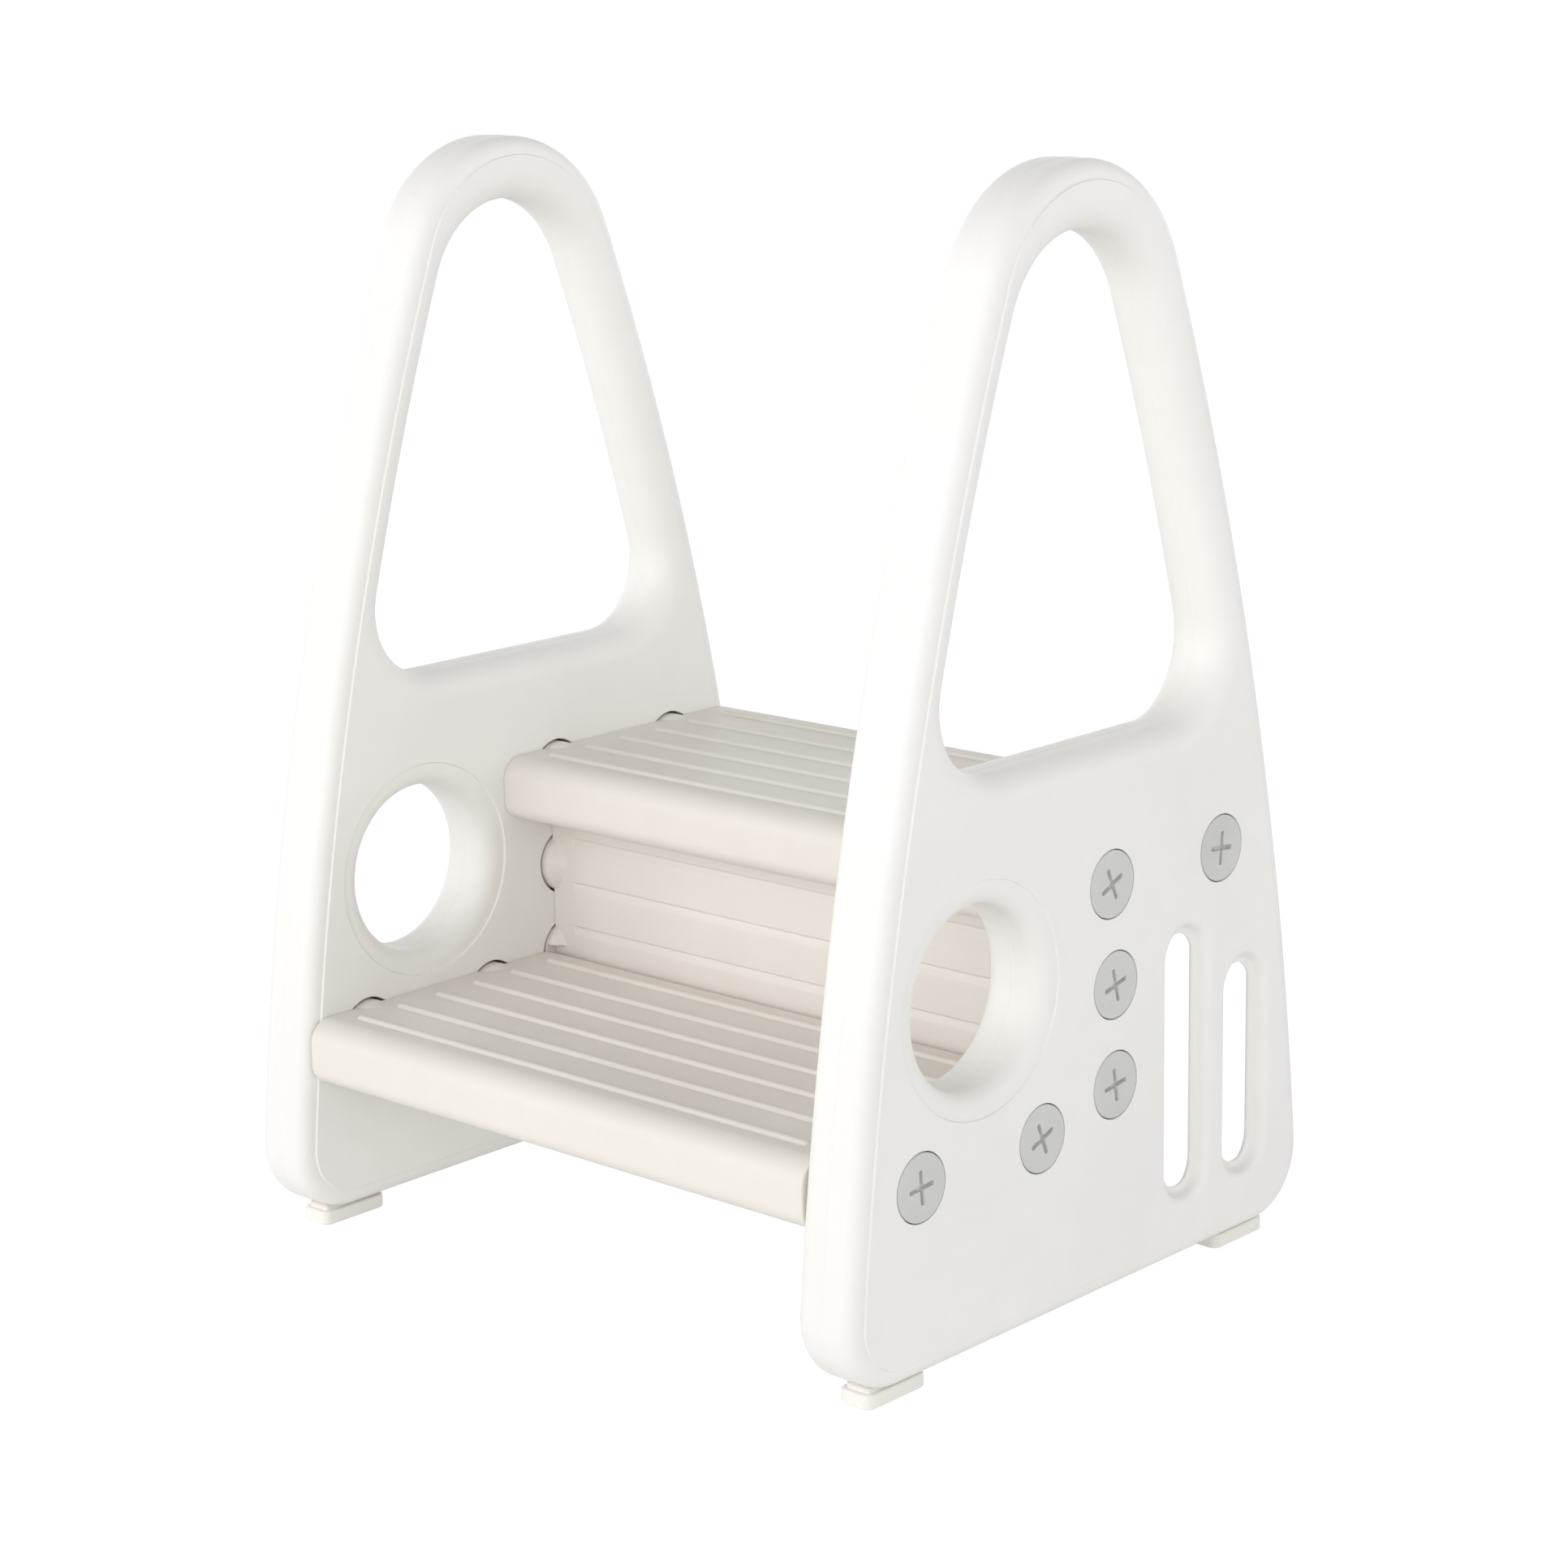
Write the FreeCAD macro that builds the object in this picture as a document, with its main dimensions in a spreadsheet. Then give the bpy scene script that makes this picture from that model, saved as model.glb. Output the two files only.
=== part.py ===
import FreeCAD, Part
import os
import re
import Sketcher
from math import atan2, hypot, pi, sqrt

# A child's two-step stool with two hoop handles.  Millimetres; X runs from the left side
# panel to the right one, the front is -Y, +Z is up and the floor is Z = 0.
# The origin is on the floor, midway between the side panels and midway along them.
#
# Two hollow side panels carry two hollow treads and a hollow riser board.  Each board has
# two round bosses on each end.  A boss enters a socket in the inner face of a panel, and a
# coarse plastic screw goes in from the outer face, through the panel's web, into the boss.

SIZES = [
    # the side panels
    ("panel_thick", 40, "thickness of a side panel"),
    ("panel_depth", 382, "widest front to back size of a side panel"),
    ("panel_top", 604, "height of the handle's crown above the floor"),
    ("panel_corner", 38, "radius of the panel's two bottom corners"),
    ("flank_radius", 1860, "radius of the long front and rear flanks"),
    ("crown_radius", 80, "radius of the handle's crown"),
    ("panel_round", 9, "rounding of the panel's outer edges"),
    ("wall", 3, "wall thickness of every hollow piece"),
    ("handle_sill", 307, "height of the handle opening's lower edge"),
    ("handle_crown", 35, "width of the handle at its crown"),
    ("handle_leg", 26, "width of the handle's two legs"),
    ("handle_corner", 40, "radius of the handle opening's lower corners"),
    ("handle_round", 15, "rounding of the handle opening's edges"),
    ("handle_flat", 1, "least flat left between the two roundings of a handle leg"),
    ("porthole_radius", 48, "radius of the porthole's throat"),
    ("porthole_height", 196, "height of the porthole's centre"),
    ("porthole_flare", 8, "rounding of the porthole's mouths"),
    ("ring_radius", 61, "radius of the ring groove round the porthole"),
    ("ring_width", 3, "width of the ring groove"),
    ("ring_cut", 1.2, "depth of the ring groove"),
    ("slot_width", 32, "width of a slot's recess in the outer face"),
    ("slot_first", 82, "first slot's centre line behind the panel's middle"),
    ("slot_pitch", 53, "distance between the two slots"),
    ("slot_low", 46, "height of the lower end of both slots"),
    ("slot_top_first", 195, "height of the first slot's upper end"),
    ("slot_top_second", 167, "height of the second slot's upper end"),
    ("slot_recess", 7, "depth of a slot's recess"),
    ("slot_lip", 3.5, "lip of web left round the slot inside its recess"),
    ("slot_web", 1.6, "thickness of the web round the slots"),
    ("slot_round", 4, "rounding of a slot recess's mouth"),
    ("slot_back", 3, "how much wider a slot's recess is on the pan's side"),
    ("pan_front", 54, "front edge of the inner face's pan behind the panel's middle"),
    ("pan_low", 26, "height of the pan's lower edge"),
    ("pan_top", 206, "height of the pan's upper edge"),
    ("pan_corner", 14, "radius of the pan's corners"),
    # the boards
    ("tread_length", 370, "length of the treads and the riser, panel to panel"),
    ("tread_depth", 188, "depth of a tread"),
    ("tread_thick", 36.5, "thickness of a tread"),
    ("tread_top", 127, "height of the lower tread's top"),
    ("tread_reach", 181, "lower tread's front face ahead of the panel's middle"),
    ("step_rise", 122.5, "height from one tread to the next"),
    ("step_run", 153.5, "distance from one tread's front face to the next"),
    ("nose_top_round", 13, "rounding of a tread's upper front edge"),
    ("nose_low_round", 10, "rounding of a tread's lower front edge"),
    ("tread_back_round", 7, "rounding of a tread's rear edges"),
    ("bead_first", 23, "first grip bead behind the tread's front face"),
    ("bead_pitch", 29.2, "distance between grip beads"),
    ("bead_count", 6, "grip beads on a tread"),
    ("bead_width", 4.6, "width of a grip bead or a riser groove"),
    ("bead_height", 1.8, "height of a grip bead"),
    ("bead_end", 15.3, "plain length at each end of a grip bead"),
    ("riser_thick", 20, "thickness of the riser board"),
    ("riser_gap", 2.2, "gap between the lower tread and the riser"),
    ("riser_round", 4, "rounding of the riser's long edges"),
    ("groove_first", 24, "lowest riser groove above the riser's lower edge"),
    ("groove_pitch", 26.8, "distance between riser grooves"),
    ("groove_count", 4, "grooves on the riser"),
    ("groove_cut", 1.4, "depth of a riser groove"),
    ("vent_radius", 2, "radius of a board's blow hole"),
    # the bosses, sockets and screws
    ("screw_setback", 43.5, "front screw behind a tread's front face"),
    ("screw_spacing", 95.5, "distance between a tread's two screws"),
    ("boss_floor", 2.7, "height of a tread's bosses above its underside"),
    ("riser_spacing", 54.4, "distance between the riser's two screws"),
    ("boss_radius", 18, "radius of a board's end boss"),
    ("boss_fade", 5, "length over which a boss fades into its board"),
    ("boss_fade_drop", 3, "fall in the boss's radius over that length"),
    ("boss_tip", 1.5, "bevel on a boss's tip"),
    ("boss_end_gap", 1, "gap between a boss's tip and its socket's floor"),
    ("socket_gap", 1.5, "radial gap between a boss and its socket"),
    ("seat_web", 8, "thickness of web between a screw's head and the socket"),
    ("screw_head", 18, "radius of a screw's head"),
    ("screw_head_thick", 6, "thickness of a screw's head"),
    ("screw_head_gap", 0.6, "radial gap round a screw's head"),
    ("screw_edge", 0.8, "bevel round a screw's head"),
    ("screw_core", 7.5, "radius of a screw's core"),
    ("thread_height", 1.5, "height of a thread ridge"),
    ("thread_pitch", 5.5, "distance between thread ridges"),
    ("thread_root", 3.4, "width of a ridge at its root"),
    ("thread_crest", 1.6, "width of a ridge at its crest"),
    ("thread_lead", 3, "boss's tip to the first ridge's centre"),
    ("thread_tail", 3, "last ridge's centre to the screw's tip"),
    ("thread_gap", 0.3, "clearance all round the thread and past the screw's tip"),
    ("shank_gap", 0.5, "radial gap between the thread and the web's hole"),
    ("cross_reach", 9.3, "half the length of the driving cross"),
    ("cross_width", 2.6, "width of the driving cross's arms"),
    ("cross_cut", 3, "depth of the driving cross"),
    # the feet
    ("foot_length", 45, "length of a foot pad"),
    ("foot_width", 21, "width of a foot pad"),
    ("foot_pad", 8, "height of a foot pad"),
    ("foot_neck", 2.5, "height of the neck between the pad and the panel"),
    ("foot_neck_inset", 3, "how far the neck stands in from the pad"),
    ("foot_corner", 5, "radius of a foot pad's corners"),
    ("foot_round", 1.5, "rounding of a foot pad's long edges"),
    ("foot_setback", 45, "foot's centre in from the panel's end"),
    ("stud_radius", 5, "radius of the foot's stud"),
    ("stud_gap", 0.1, "clearance round the stud"),
    ("stud_barb", 1.4, "how far the stud's head stands out"),
    ("stud_head", 4, "height of the stud's head"),
]
RIDGES = 4          # thread ridges on one screw
TINY = 1e-4         # mm, for telling planes apart

doc = FreeCAD.newDocument("StepStool")
sheet = doc.addObject("Spreadsheet::Sheet", "Sizes")
for row, (alias, value, meaning) in enumerate(SIZES, start=1):
    sheet.set(f"A{row}", meaning)
    sheet.set(f"B{row}", str(value))
    sheet.setAlias(f"B{row}", alias)
doc.recompute()


def expr(text):
    """Write the sheet's name before each size named in an expression."""
    names = {alias for alias, value, meaning in SIZES}
    return re.sub(r"[a-z_]+", lambda word: "Sizes." + word[0] if word[0] in names else word[0], text)


def value_of(text):
    """Work out an expression's value from the sheet."""
    return float(sheet.evalExpression(expr(text)))


# Places that several pieces share, each an expression in the sheet's sizes.
PANEL_LOW = "(foot_pad + foot_neck)"
HALF_DEPTH = "panel_depth / 2"
TREAD_LOW = "(tread_top - tread_thick)"
RISER_FRONT = "(tread_depth + riser_gap - tread_reach)"
RISER_MIDDLE = f"({RISER_FRONT} + riser_thick / 2)"
SOCKET_DEPTH = "(panel_thick - screw_head_thick - seat_web)"
BOSS_LENGTH = f"({SOCKET_DEPTH} - boss_end_gap)"
BOSS_TIP_PLACE = "(screw_head_thick + seat_web + boss_end_gap)"
SCREW_LENGTH = f"({BOSS_TIP_PLACE} + thread_lead + {RIDGES - 1} * thread_pitch + thread_tail)"
LOWER_SCREW_Z = f"({TREAD_LOW} + boss_floor + boss_radius)"
RISER_SCREW_Z = f"({TREAD_LOW} + step_rise / 2)"
SCREWS = {
    "lower_tread_front": ("(screw_setback - tread_reach)", LOWER_SCREW_Z, 4),
    "lower_tread_rear": ("(screw_setback + screw_spacing - tread_reach)", LOWER_SCREW_Z, 22),
    "riser_lower": (RISER_MIDDLE, f"({RISER_SCREW_Z} - riser_spacing / 2)", 8),
    "riser_upper": (RISER_MIDDLE, f"({RISER_SCREW_Z} + riser_spacing / 2)", 14),
    "upper_tread_front": ("(step_run + screw_setback - tread_reach)", f"({LOWER_SCREW_Z} + step_rise)", 24),
    "upper_tread_rear": (
        "(step_run + screw_setback + screw_spacing - tread_reach)", f"({LOWER_SCREW_Z} + step_rise)", -6),
}
PORTHOLE_Y = "(screw_setback + screw_spacing / 2 - tread_reach)"
SLOTS = {
    "first": ("slot_first", "slot_top_first"),
    "second": ("(slot_first + slot_pitch)", "slot_top_second"),
}


# ---------------------------------------------------------------- sketch helpers

def new_body(name):
    return doc.addObject("PartDesign::Body", name)


def new_sketch(body, name, role, offset=("0", "0", "0")):
    """Sketch on an origin plane of its own body, moved by three expressions in the plane's axes."""
    sketch = body.newObject("Sketcher::SketchObject", body.Name + "_" + name)
    plane = next(item for item in body.Origin.OriginFeatures if item.Role == role)
    sketch.AttachmentSupport = [(plane, "")]
    sketch.MapMode = "FlatFace"
    for axis, text in zip("xyz", offset):
        if text != "0":
            sketch.setExpression("AttachmentOffset.Base." + axis, expr(text))
    return sketch


def drive(sketch, name, text, kind, *where):
    """Add a dimension that takes its value from the sheet."""
    index = sketch.addConstraint(Sketcher.Constraint(kind, *where, value_of(text)))
    sketch.renameConstraint(index, name)
    sketch.setExpression("Constraints." + name, expr(text))


def place_point(sketch, name, geometry, point, across, up):
    """Hold one point of a sketch at two distances from the sketch's origin."""
    for kind, text, axis in (("DistanceX", across, -2), ("DistanceY", up, -1)):
        if text == "0":
            sketch.addConstraint(Sketcher.Constraint("PointOnObject", geometry, point, axis))
        else:
            drive(sketch, f"{name}_{kind}", text, kind, -1, 1, geometry, point)


def add_polygon(sketch, name, points):
    """Closed polygon; each corner is a pair of expressions."""
    corners = [FreeCAD.Vector(value_of(across), value_of(up), 0) for across, up in points]
    first = sketch.GeometryCount
    count = len(corners)
    for k in range(count):
        sketch.addGeometry(Part.LineSegment(corners[k], corners[(k + 1) % count]), False)
    for k in range(count):
        following = first + (k + 1) % count
        sketch.addConstraint(Sketcher.Constraint("Coincident", first + k, 2, following, 1))
    for k, (across, up) in enumerate(points):
        place_point(sketch, f"{name}_{k}", first + k, 1, across, up)


def add_rectangle(sketch, name, low, high):
    add_polygon(sketch, name, [low, (high[0], low[1]), high, (low[0], high[1])])


def add_circle(sketch, name, across, up, radius):
    centre = FreeCAD.Vector(value_of(across), value_of(up), 0)
    circle = Part.Circle(centre, FreeCAD.Vector(0, 0, 1), value_of(radius))
    index = sketch.addGeometry(circle, False)
    place_point(sketch, name, index, 3, across, up)
    drive(sketch, name + "_radius", radius, "Radius", index)


def add_arc(sketch, centre, radius, start, end):
    circle = Part.Circle(FreeCAD.Vector(*centre, 0), FreeCAD.Vector(0, 0, 1), radius)
    return sketch.addGeometry(Part.ArcOfCircle(circle, start, end), False)


def join_tangent(sketch, pieces):
    """Join a closed run of lines and arcs end to start, each tangent to the next."""
    for piece, following in zip(pieces, pieces[1:] + pieces[:1]):
        sketch.addConstraint(Sketcher.Constraint("Tangent", piece, 2, following, 1))


def add_obround(sketch, name, ends, radius, flat="up"):
    """Round-ended slot between two centres, each a pair of expressions."""
    (ax, ay), (bx, by) = [(value_of(across), value_of(up)) for across, up in ends]
    r = value_of(radius)
    turn = 0 if flat == "up" else -pi / 2
    side = FreeCAD.Vector(r, 0, 0) if flat == "up" else FreeCAD.Vector(0, -r, 0)
    low, high = FreeCAD.Vector(ax, ay, 0), FreeCAD.Vector(bx, by, 0)
    right = sketch.addGeometry(Part.LineSegment(low + side, high + side), False)
    cap = add_arc(sketch, (bx, by), r, turn, turn + pi)
    left = sketch.addGeometry(Part.LineSegment(high - side, low - side), False)
    foot = add_arc(sketch, (ax, ay), r, turn + pi, turn + 2 * pi)
    join_tangent(sketch, [right, cap, left, foot])
    sketch.addConstraint(Sketcher.Constraint("Equal", cap, foot))
    drive(sketch, name + "_radius", radius, "Radius", cap)
    place_point(sketch, name + "_start", foot, 3, *ends[0])
    if flat == "up":
        sketch.addConstraint(Sketcher.Constraint("Vertical", right))
        drive(sketch, name + "_end", ends[1][1], "DistanceY", -1, 1, cap, 3)
    else:
        sketch.addConstraint(Sketcher.Constraint("Horizontal", right))
        drive(sketch, name + "_end", ends[1][0], "DistanceX", -1, 1, cap, 3)


def add_arch(sketch, corner_centre, corner, flank_centre, flank, crown_centre, crown):
    """Symmetric arch loop: sill, two corners, two long flanks and a crown, all tangent.

    Takes plain numbers for its first shape and returns the six pieces; the caller adds the
    dimensions.  Centres of touching arcs are in line with the point where they touch.
    """
    (cx, cz), (fx, fz) = corner_centre, flank_centre
    low = atan2(cz - fz, cx - fx)
    high = atan2(crown_centre - fz, -fx)
    sill = sketch.addGeometry(
        Part.LineSegment(FreeCAD.Vector(-cx, cz - corner, 0), FreeCAD.Vector(cx, cz - corner, 0)), False)
    rear_corner = add_arc(sketch, (cx, cz), corner, -pi / 2, low)
    rear_flank = add_arc(sketch, (fx, fz), flank, low, high)
    top = add_arc(sketch, (0, crown_centre), crown, high, pi - high)
    front_flank = add_arc(sketch, (-fx, fz), flank, pi - high, pi - low)
    front_corner = add_arc(sketch, (-cx, cz), corner, pi - low, 1.5 * pi)
    pieces = [sill, rear_corner, rear_flank, top, front_flank, front_corner]
    join_tangent(sketch, pieces)
    sketch.addConstraint(Sketcher.Constraint("Symmetric", sill, 1, sill, 2, -2))
    sketch.addConstraint(Sketcher.Constraint("Equal", rear_corner, front_corner))
    sketch.addConstraint(Sketcher.Constraint("Equal", rear_flank, front_flank))
    sketch.addConstraint(Sketcher.Constraint("PointOnObject", top, 3, -2))
    return pieces


# ---------------------------------------------------------------- feature helpers

def solid_step(body, kind, sketch, grows, **values):
    """Add one PartDesign feature and check that it adds or removes material."""
    before = body.Shape.Volume if body.Tip else 0.0
    feature = body.newObject("PartDesign::" + kind, sketch.Name.replace("sketch", "") + kind.lower())
    feature.Profile = sketch
    for name, value in values.items():
        if isinstance(value, str) and name in ("Length", "Angle"):
            feature.setExpression(name, expr(value))
        else:
            setattr(feature, name, value)
    doc.recompute()
    change = feature.Shape.Volume - before
    if change * grows <= 0:
        raise RuntimeError(f"{feature.Name} changes the volume by {change:.1f} mm3")
    return feature


def pad(body, sketch, length, **values):
    return solid_step(body, "Pad", sketch, 1, Length=length, **values)


def pocket(body, sketch, length, **values):
    return solid_step(body, "Pocket", sketch, -1, Length=length, **values)


def revolve(body, sketch):
    return solid_step(body, "Revolution", sketch, 1, ReferenceAxis=(sketch, ["H_Axis"]), Angle=360.0)


def groove(body, sketch):
    return solid_step(body, "Groove", sketch, -1, ReferenceAxis=(sketch, ["H_Axis"]), Angle=360.0)


def fillet(body, name, radius, edges):
    """Round the given edges of the body's last feature."""
    base = body.Tip
    names = [f"Edge{k}" for k, edge in enumerate(base.Shape.Edges, 1)
             if any(edge.isSame(wanted) for wanted in edges)]
    if not names:
        raise RuntimeError(f"{body.Name} has no edges for {name}")
    feature = body.newObject("PartDesign::Fillet", f"{body.Name}_{name}")
    feature.Base = (base, names)
    feature.setExpression("Radius", expr(radius))
    doc.recompute()
    return feature


def repeat_along(body, feature, axis_role, pitch, count):
    """Repeat a feature along one of the body's own axes."""
    pattern = body.newObject("PartDesign::LinearPattern", feature.Name + "_row")
    pattern.Originals = [feature]
    axis = next(item for item in body.Origin.OriginFeatures if item.Role == axis_role)
    pattern.Direction = (axis, [""])
    pattern.setExpression("Length", expr(f"{pitch} * ( {count} - 1 )"))
    pattern.setExpression("Occurrences", expr(count))
    body.Tip = pattern
    doc.recompute()
    return pattern


def lies_at(edge, axis, place):
    """Whether a whole edge lies in the plane at one place along an axis."""
    box = edge.BoundBox
    low, high = getattr(box, axis + "Min"), getattr(box, axis + "Max")
    return abs(low - place) < TINY and abs(high - place) < TINY


def long_edges(shape, y, z):
    """Straight edges along X that pass through the given Y and Z."""
    return [edge for edge in shape.Edges if lies_at(edge, "Y", y) and lies_at(edge, "Z", z)]


def panel_wires(shape, x):
    """Wires of the largest flat face at one X: the outline first, then the others, longest first."""
    faces = [face for face in shape.Faces if lies_at(face, "X", x)]
    face = max(faces, key=lambda item: item.Area)
    inner = [wire for wire in face.Wires if not wire.isSame(face.OuterWire)]
    return [face.OuterWire] + sorted(inner, key=lambda wire: wire.Length, reverse=True)


def place(piece, x="0", y="0", z="0"):
    for axis, text in zip("xyz", (x, y, z)):
        if text != "0":
            piece.setExpression("Placement.Base." + axis, expr(text))


def hollow(name, form, cavity):
    """Cut the cavity out of the outer form and give the result its node's name."""
    piece = doc.addObject("Part::Cut", name)
    piece.Label = name
    piece.Base = form
    piece.Tool = cavity
    doc.recompute()
    return piece


# ---------------------------------------------------------------- side panels

def flank_centre(half, low, corner, flank, crown_place, crown):
    """Centre of the arc that touches both the corner's and the crown's circle from outside."""
    ax, az = half - corner, low + corner
    dx, dz = -ax, crown_place - az
    span = hypot(dx, dz)
    from_corner, from_crown = flank - corner, flank - crown
    along = (from_corner ** 2 - from_crown ** 2 + span ** 2) / (2 * span)
    aside = sqrt(from_corner ** 2 - along ** 2)
    return ax + (along * dx - aside * dz) / span, az + (along * dz + aside * dx) / span


def draw_panel(sketch, inset):
    """Outline, handle opening and porthole, moved into the wall by an inset."""
    half = f"({HALF_DEPTH} - {inset})"
    low = f"({PANEL_LOW} + {inset})"
    corner, flank, crown = [f"({name} - {inset})" for name in ("panel_corner", "flank_radius", "crown_radius")]
    crown_place = "(panel_top - crown_radius)"
    numbers = [value_of(text) for text in (half, low, corner, flank, crown_place, crown)]
    centre = flank_centre(*numbers)
    outline = add_arch(sketch, (numbers[0] - numbers[2], numbers[1] + numbers[2]), numbers[2],
                       centre, numbers[3], numbers[4], numbers[5])
    drive(sketch, "outline_low", low, "DistanceY", -1, 1, outline[0], 1)
    drive(sketch, "outline_corner", corner, "Radius", outline[1])
    drive(sketch, "outline_corner_place", f"({half} - {corner})", "DistanceX", -1, 1, outline[1], 3)
    drive(sketch, "outline_flank", flank, "Radius", outline[2])
    drive(sketch, "outline_crown", crown, "Radius", outline[3])
    drive(sketch, "outline_crown_place", crown_place, "DistanceY", -1, 1, outline[3], 3)

    # The opening's flanks share the outline's centres, a handle leg's width further in.
    sill = f"(handle_sill - {inset})"
    corner = f"(handle_corner + {inset})"
    flank = f"(flank_radius - handle_leg + {inset})"
    top = f"(panel_top - handle_crown + {inset})"
    low, corner_r, flank_r, high = [value_of(text) for text in (sill, corner, flank, top)]
    rise = high - centre[1]
    crown_r = (centre[0] ** 2 + rise ** 2 - flank_r ** 2) / (2 * (rise - flank_r))
    corner_z = low + corner_r
    corner_y = centre[0] + sqrt((flank_r - corner_r) ** 2 - (corner_z - centre[1]) ** 2)
    opening = add_arch(sketch, (corner_y, corner_z), corner_r, centre, flank_r, high - crown_r, crown_r)
    sketch.addConstraint(Sketcher.Constraint("Coincident", outline[2], 3, opening[2], 3))
    drive(sketch, "opening_sill", sill, "DistanceY", -1, 1, opening[0], 1)
    drive(sketch, "opening_corner", corner, "Radius", opening[1])
    drive(sketch, "opening_flank", flank, "Radius", opening[2])
    peak = sketch.addGeometry(Part.Point(FreeCAD.Vector(0, high, 0)), True)
    sketch.addConstraint(Sketcher.Constraint("PointOnObject", peak, 1, opening[3]))
    place_point(sketch, "opening_top", peak, 1, "0", top)

    add_circle(sketch, "porthole", PORTHOLE_Y, "porthole_height", f"(porthole_radius + {inset})")


def round_panel(body, half, inset):
    """Round the outline, the handle opening and the porthole on both faces."""
    limit = "(handle_leg - panel_round - handle_flat)"
    roundings = [
        ("outline", f"panel_round - {inset}", 0),
        ("opening", f"min(handle_round;{limit}) - {inset}", 1),
        ("porthole", f"porthole_flare - {inset}", 2),
    ]
    for name, radius, wire in roundings:
        shape = body.Tip.Shape
        edges = [edge for x in (-half, half) for edge in panel_wires(shape, x)[wire].Edges]
        fillet(body, name + "_round", radius, edges)


def cut_pan(body, half, inset):
    """Sink the pan, open to the panel's rear edge, into the inner face."""
    sketch = new_sketch(body, "pan_sketch", "YZ_Plane", ("0", "0", f"({inset} - panel_thick / 2)"))
    front, rear = f"(pan_front - {inset})", f"({HALF_DEPTH} + pan_corner)"
    add_rectangle(sketch, "pan", (front, f"(pan_low - {inset})"), (rear, f"(pan_top + {inset})"))
    pocket(body, sketch, "(panel_thick - slot_recess - 2 * wall)", Reversed=True)
    corners = [edge for edge in body.Tip.Shape.Edges
               if lies_at(edge, "Y", value_of(front)) and edge.BoundBox.ZLength < TINY
               and edge.BoundBox.XMin < TINY - half]
    fillet(body, "pan_corners", f"pan_corner + {inset}", corners)


def draw_slots(sketch, grow):
    for name, (middle, top) in SLOTS.items():
        ends = [(middle, "(slot_low + slot_width / 2)"), (middle, f"({top} - slot_width / 2)")]
        add_obround(sketch, name, ends, f"(slot_width / 2 + {grow})")


def draw_screw_circles(sketch, radius):
    for name, (y, z, turn) in SCREWS.items():
        add_circle(sketch, name, y, z, radius)


def panel_form():
    """The side panel's outer form, as if it were solid; the outer face looks to +X."""
    body = new_body("panel_form")
    half = value_of("panel_thick / 2")
    sketch = new_sketch(body, "blank_sketch", "YZ_Plane")
    draw_panel(sketch, "0")
    pad(body, sketch, "panel_thick", Midplane=True)
    round_panel(body, half, "0")

    for side in ("panel_thick / 2", "(0 - panel_thick / 2)"):
        ring = new_sketch(body, "ring_sketch", "XY_Plane", ("0", PORTHOLE_Y, "porthole_height"))
        inwards = "-" if side == "panel_thick / 2" else "+"
        add_polygon(ring, "ring", [
            (side, "(ring_radius - ring_width / 2)"), (side, "(ring_radius + ring_width / 2)"),
            (f"({side} {inwards} ring_cut)", "ring_radius")])
        groove(body, ring)

    cut_pan(body, half, "0")
    outer_face, inner_face = "(panel_thick / 2)", "(0 - panel_thick / 2)"
    recess = new_sketch(body, "recess_sketch", "YZ_Plane", ("0", "0", outer_face))
    draw_slots(recess, "0")
    pocket(body, recess, "slot_recess")
    mouths = [edge for wire in panel_wires(body.Tip.Shape, half)[1:] for edge in wire.Edges
              if edge.BoundBox.YMin > value_of("pan_front") and edge.BoundBox.ZMax < value_of("pan_top")]
    fillet(body, "recess_round", "slot_round", mouths)
    back = new_sketch(body, "back_sketch", "YZ_Plane", ("0", "0", inner_face))
    draw_slots(back, "slot_back")
    pocket(body, back, "(panel_thick - slot_recess - slot_web)", Reversed=True)
    slots = new_sketch(body, "slots_sketch", "YZ_Plane")
    draw_slots(slots, "(0 - slot_lip)")
    pocket(body, slots, "panel_thick", Midplane=True)

    # Each screw has a counterbore outside, a hole through the web and a socket inside.
    heads = new_sketch(body, "heads_sketch", "YZ_Plane", ("0", "0", outer_face))
    draw_screw_circles(heads, "(screw_head + screw_head_gap)")
    pocket(body, heads, "screw_head_thick")
    sockets = new_sketch(body, "sockets_sketch", "YZ_Plane", ("0", "0", inner_face))
    draw_screw_circles(sockets, "(boss_radius + socket_gap)")
    pocket(body, sockets, SOCKET_DEPTH, Reversed=True)
    holes = new_sketch(body, "holes_sketch", "YZ_Plane")
    draw_screw_circles(holes, "(screw_core + thread_height + shank_gap)")
    pocket(body, holes, "panel_thick", Midplane=True)

    studs = new_sketch(body, "studs_sketch", "XY_Plane", ("0", "0", PANEL_LOW))
    for name, y in (("front", f"(foot_setback - {HALF_DEPTH})"), ("rear", f"({HALF_DEPTH} - foot_setback)")):
        add_circle(studs, name, "0", y, "(stud_radius + stud_gap)")
    pocket(body, studs, "wall + stud_gap", Reversed=True)
    return body


def panel_cavity():
    """The hollow inside the panel: its form drawn in by the wall, less a sleeve round each
    socket, slot and stud."""
    body = new_body("panel_cavity")
    half = value_of("panel_thick / 2 - wall")
    sketch = new_sketch(body, "blank_sketch", "YZ_Plane")
    draw_panel(sketch, "wall")
    pad(body, sketch, "panel_thick - 2 * wall", Midplane=True)
    round_panel(body, half, "wall")
    cut_pan(body, half, "wall")
    sleeves = new_sketch(body, "sleeves_sketch", "YZ_Plane")
    draw_slots(sleeves, "(slot_back + wall)")
    draw_screw_circles(sleeves, "(boss_radius + socket_gap + wall)")
    pocket(body, sleeves, "panel_thick", Midplane=True)
    return body


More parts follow.
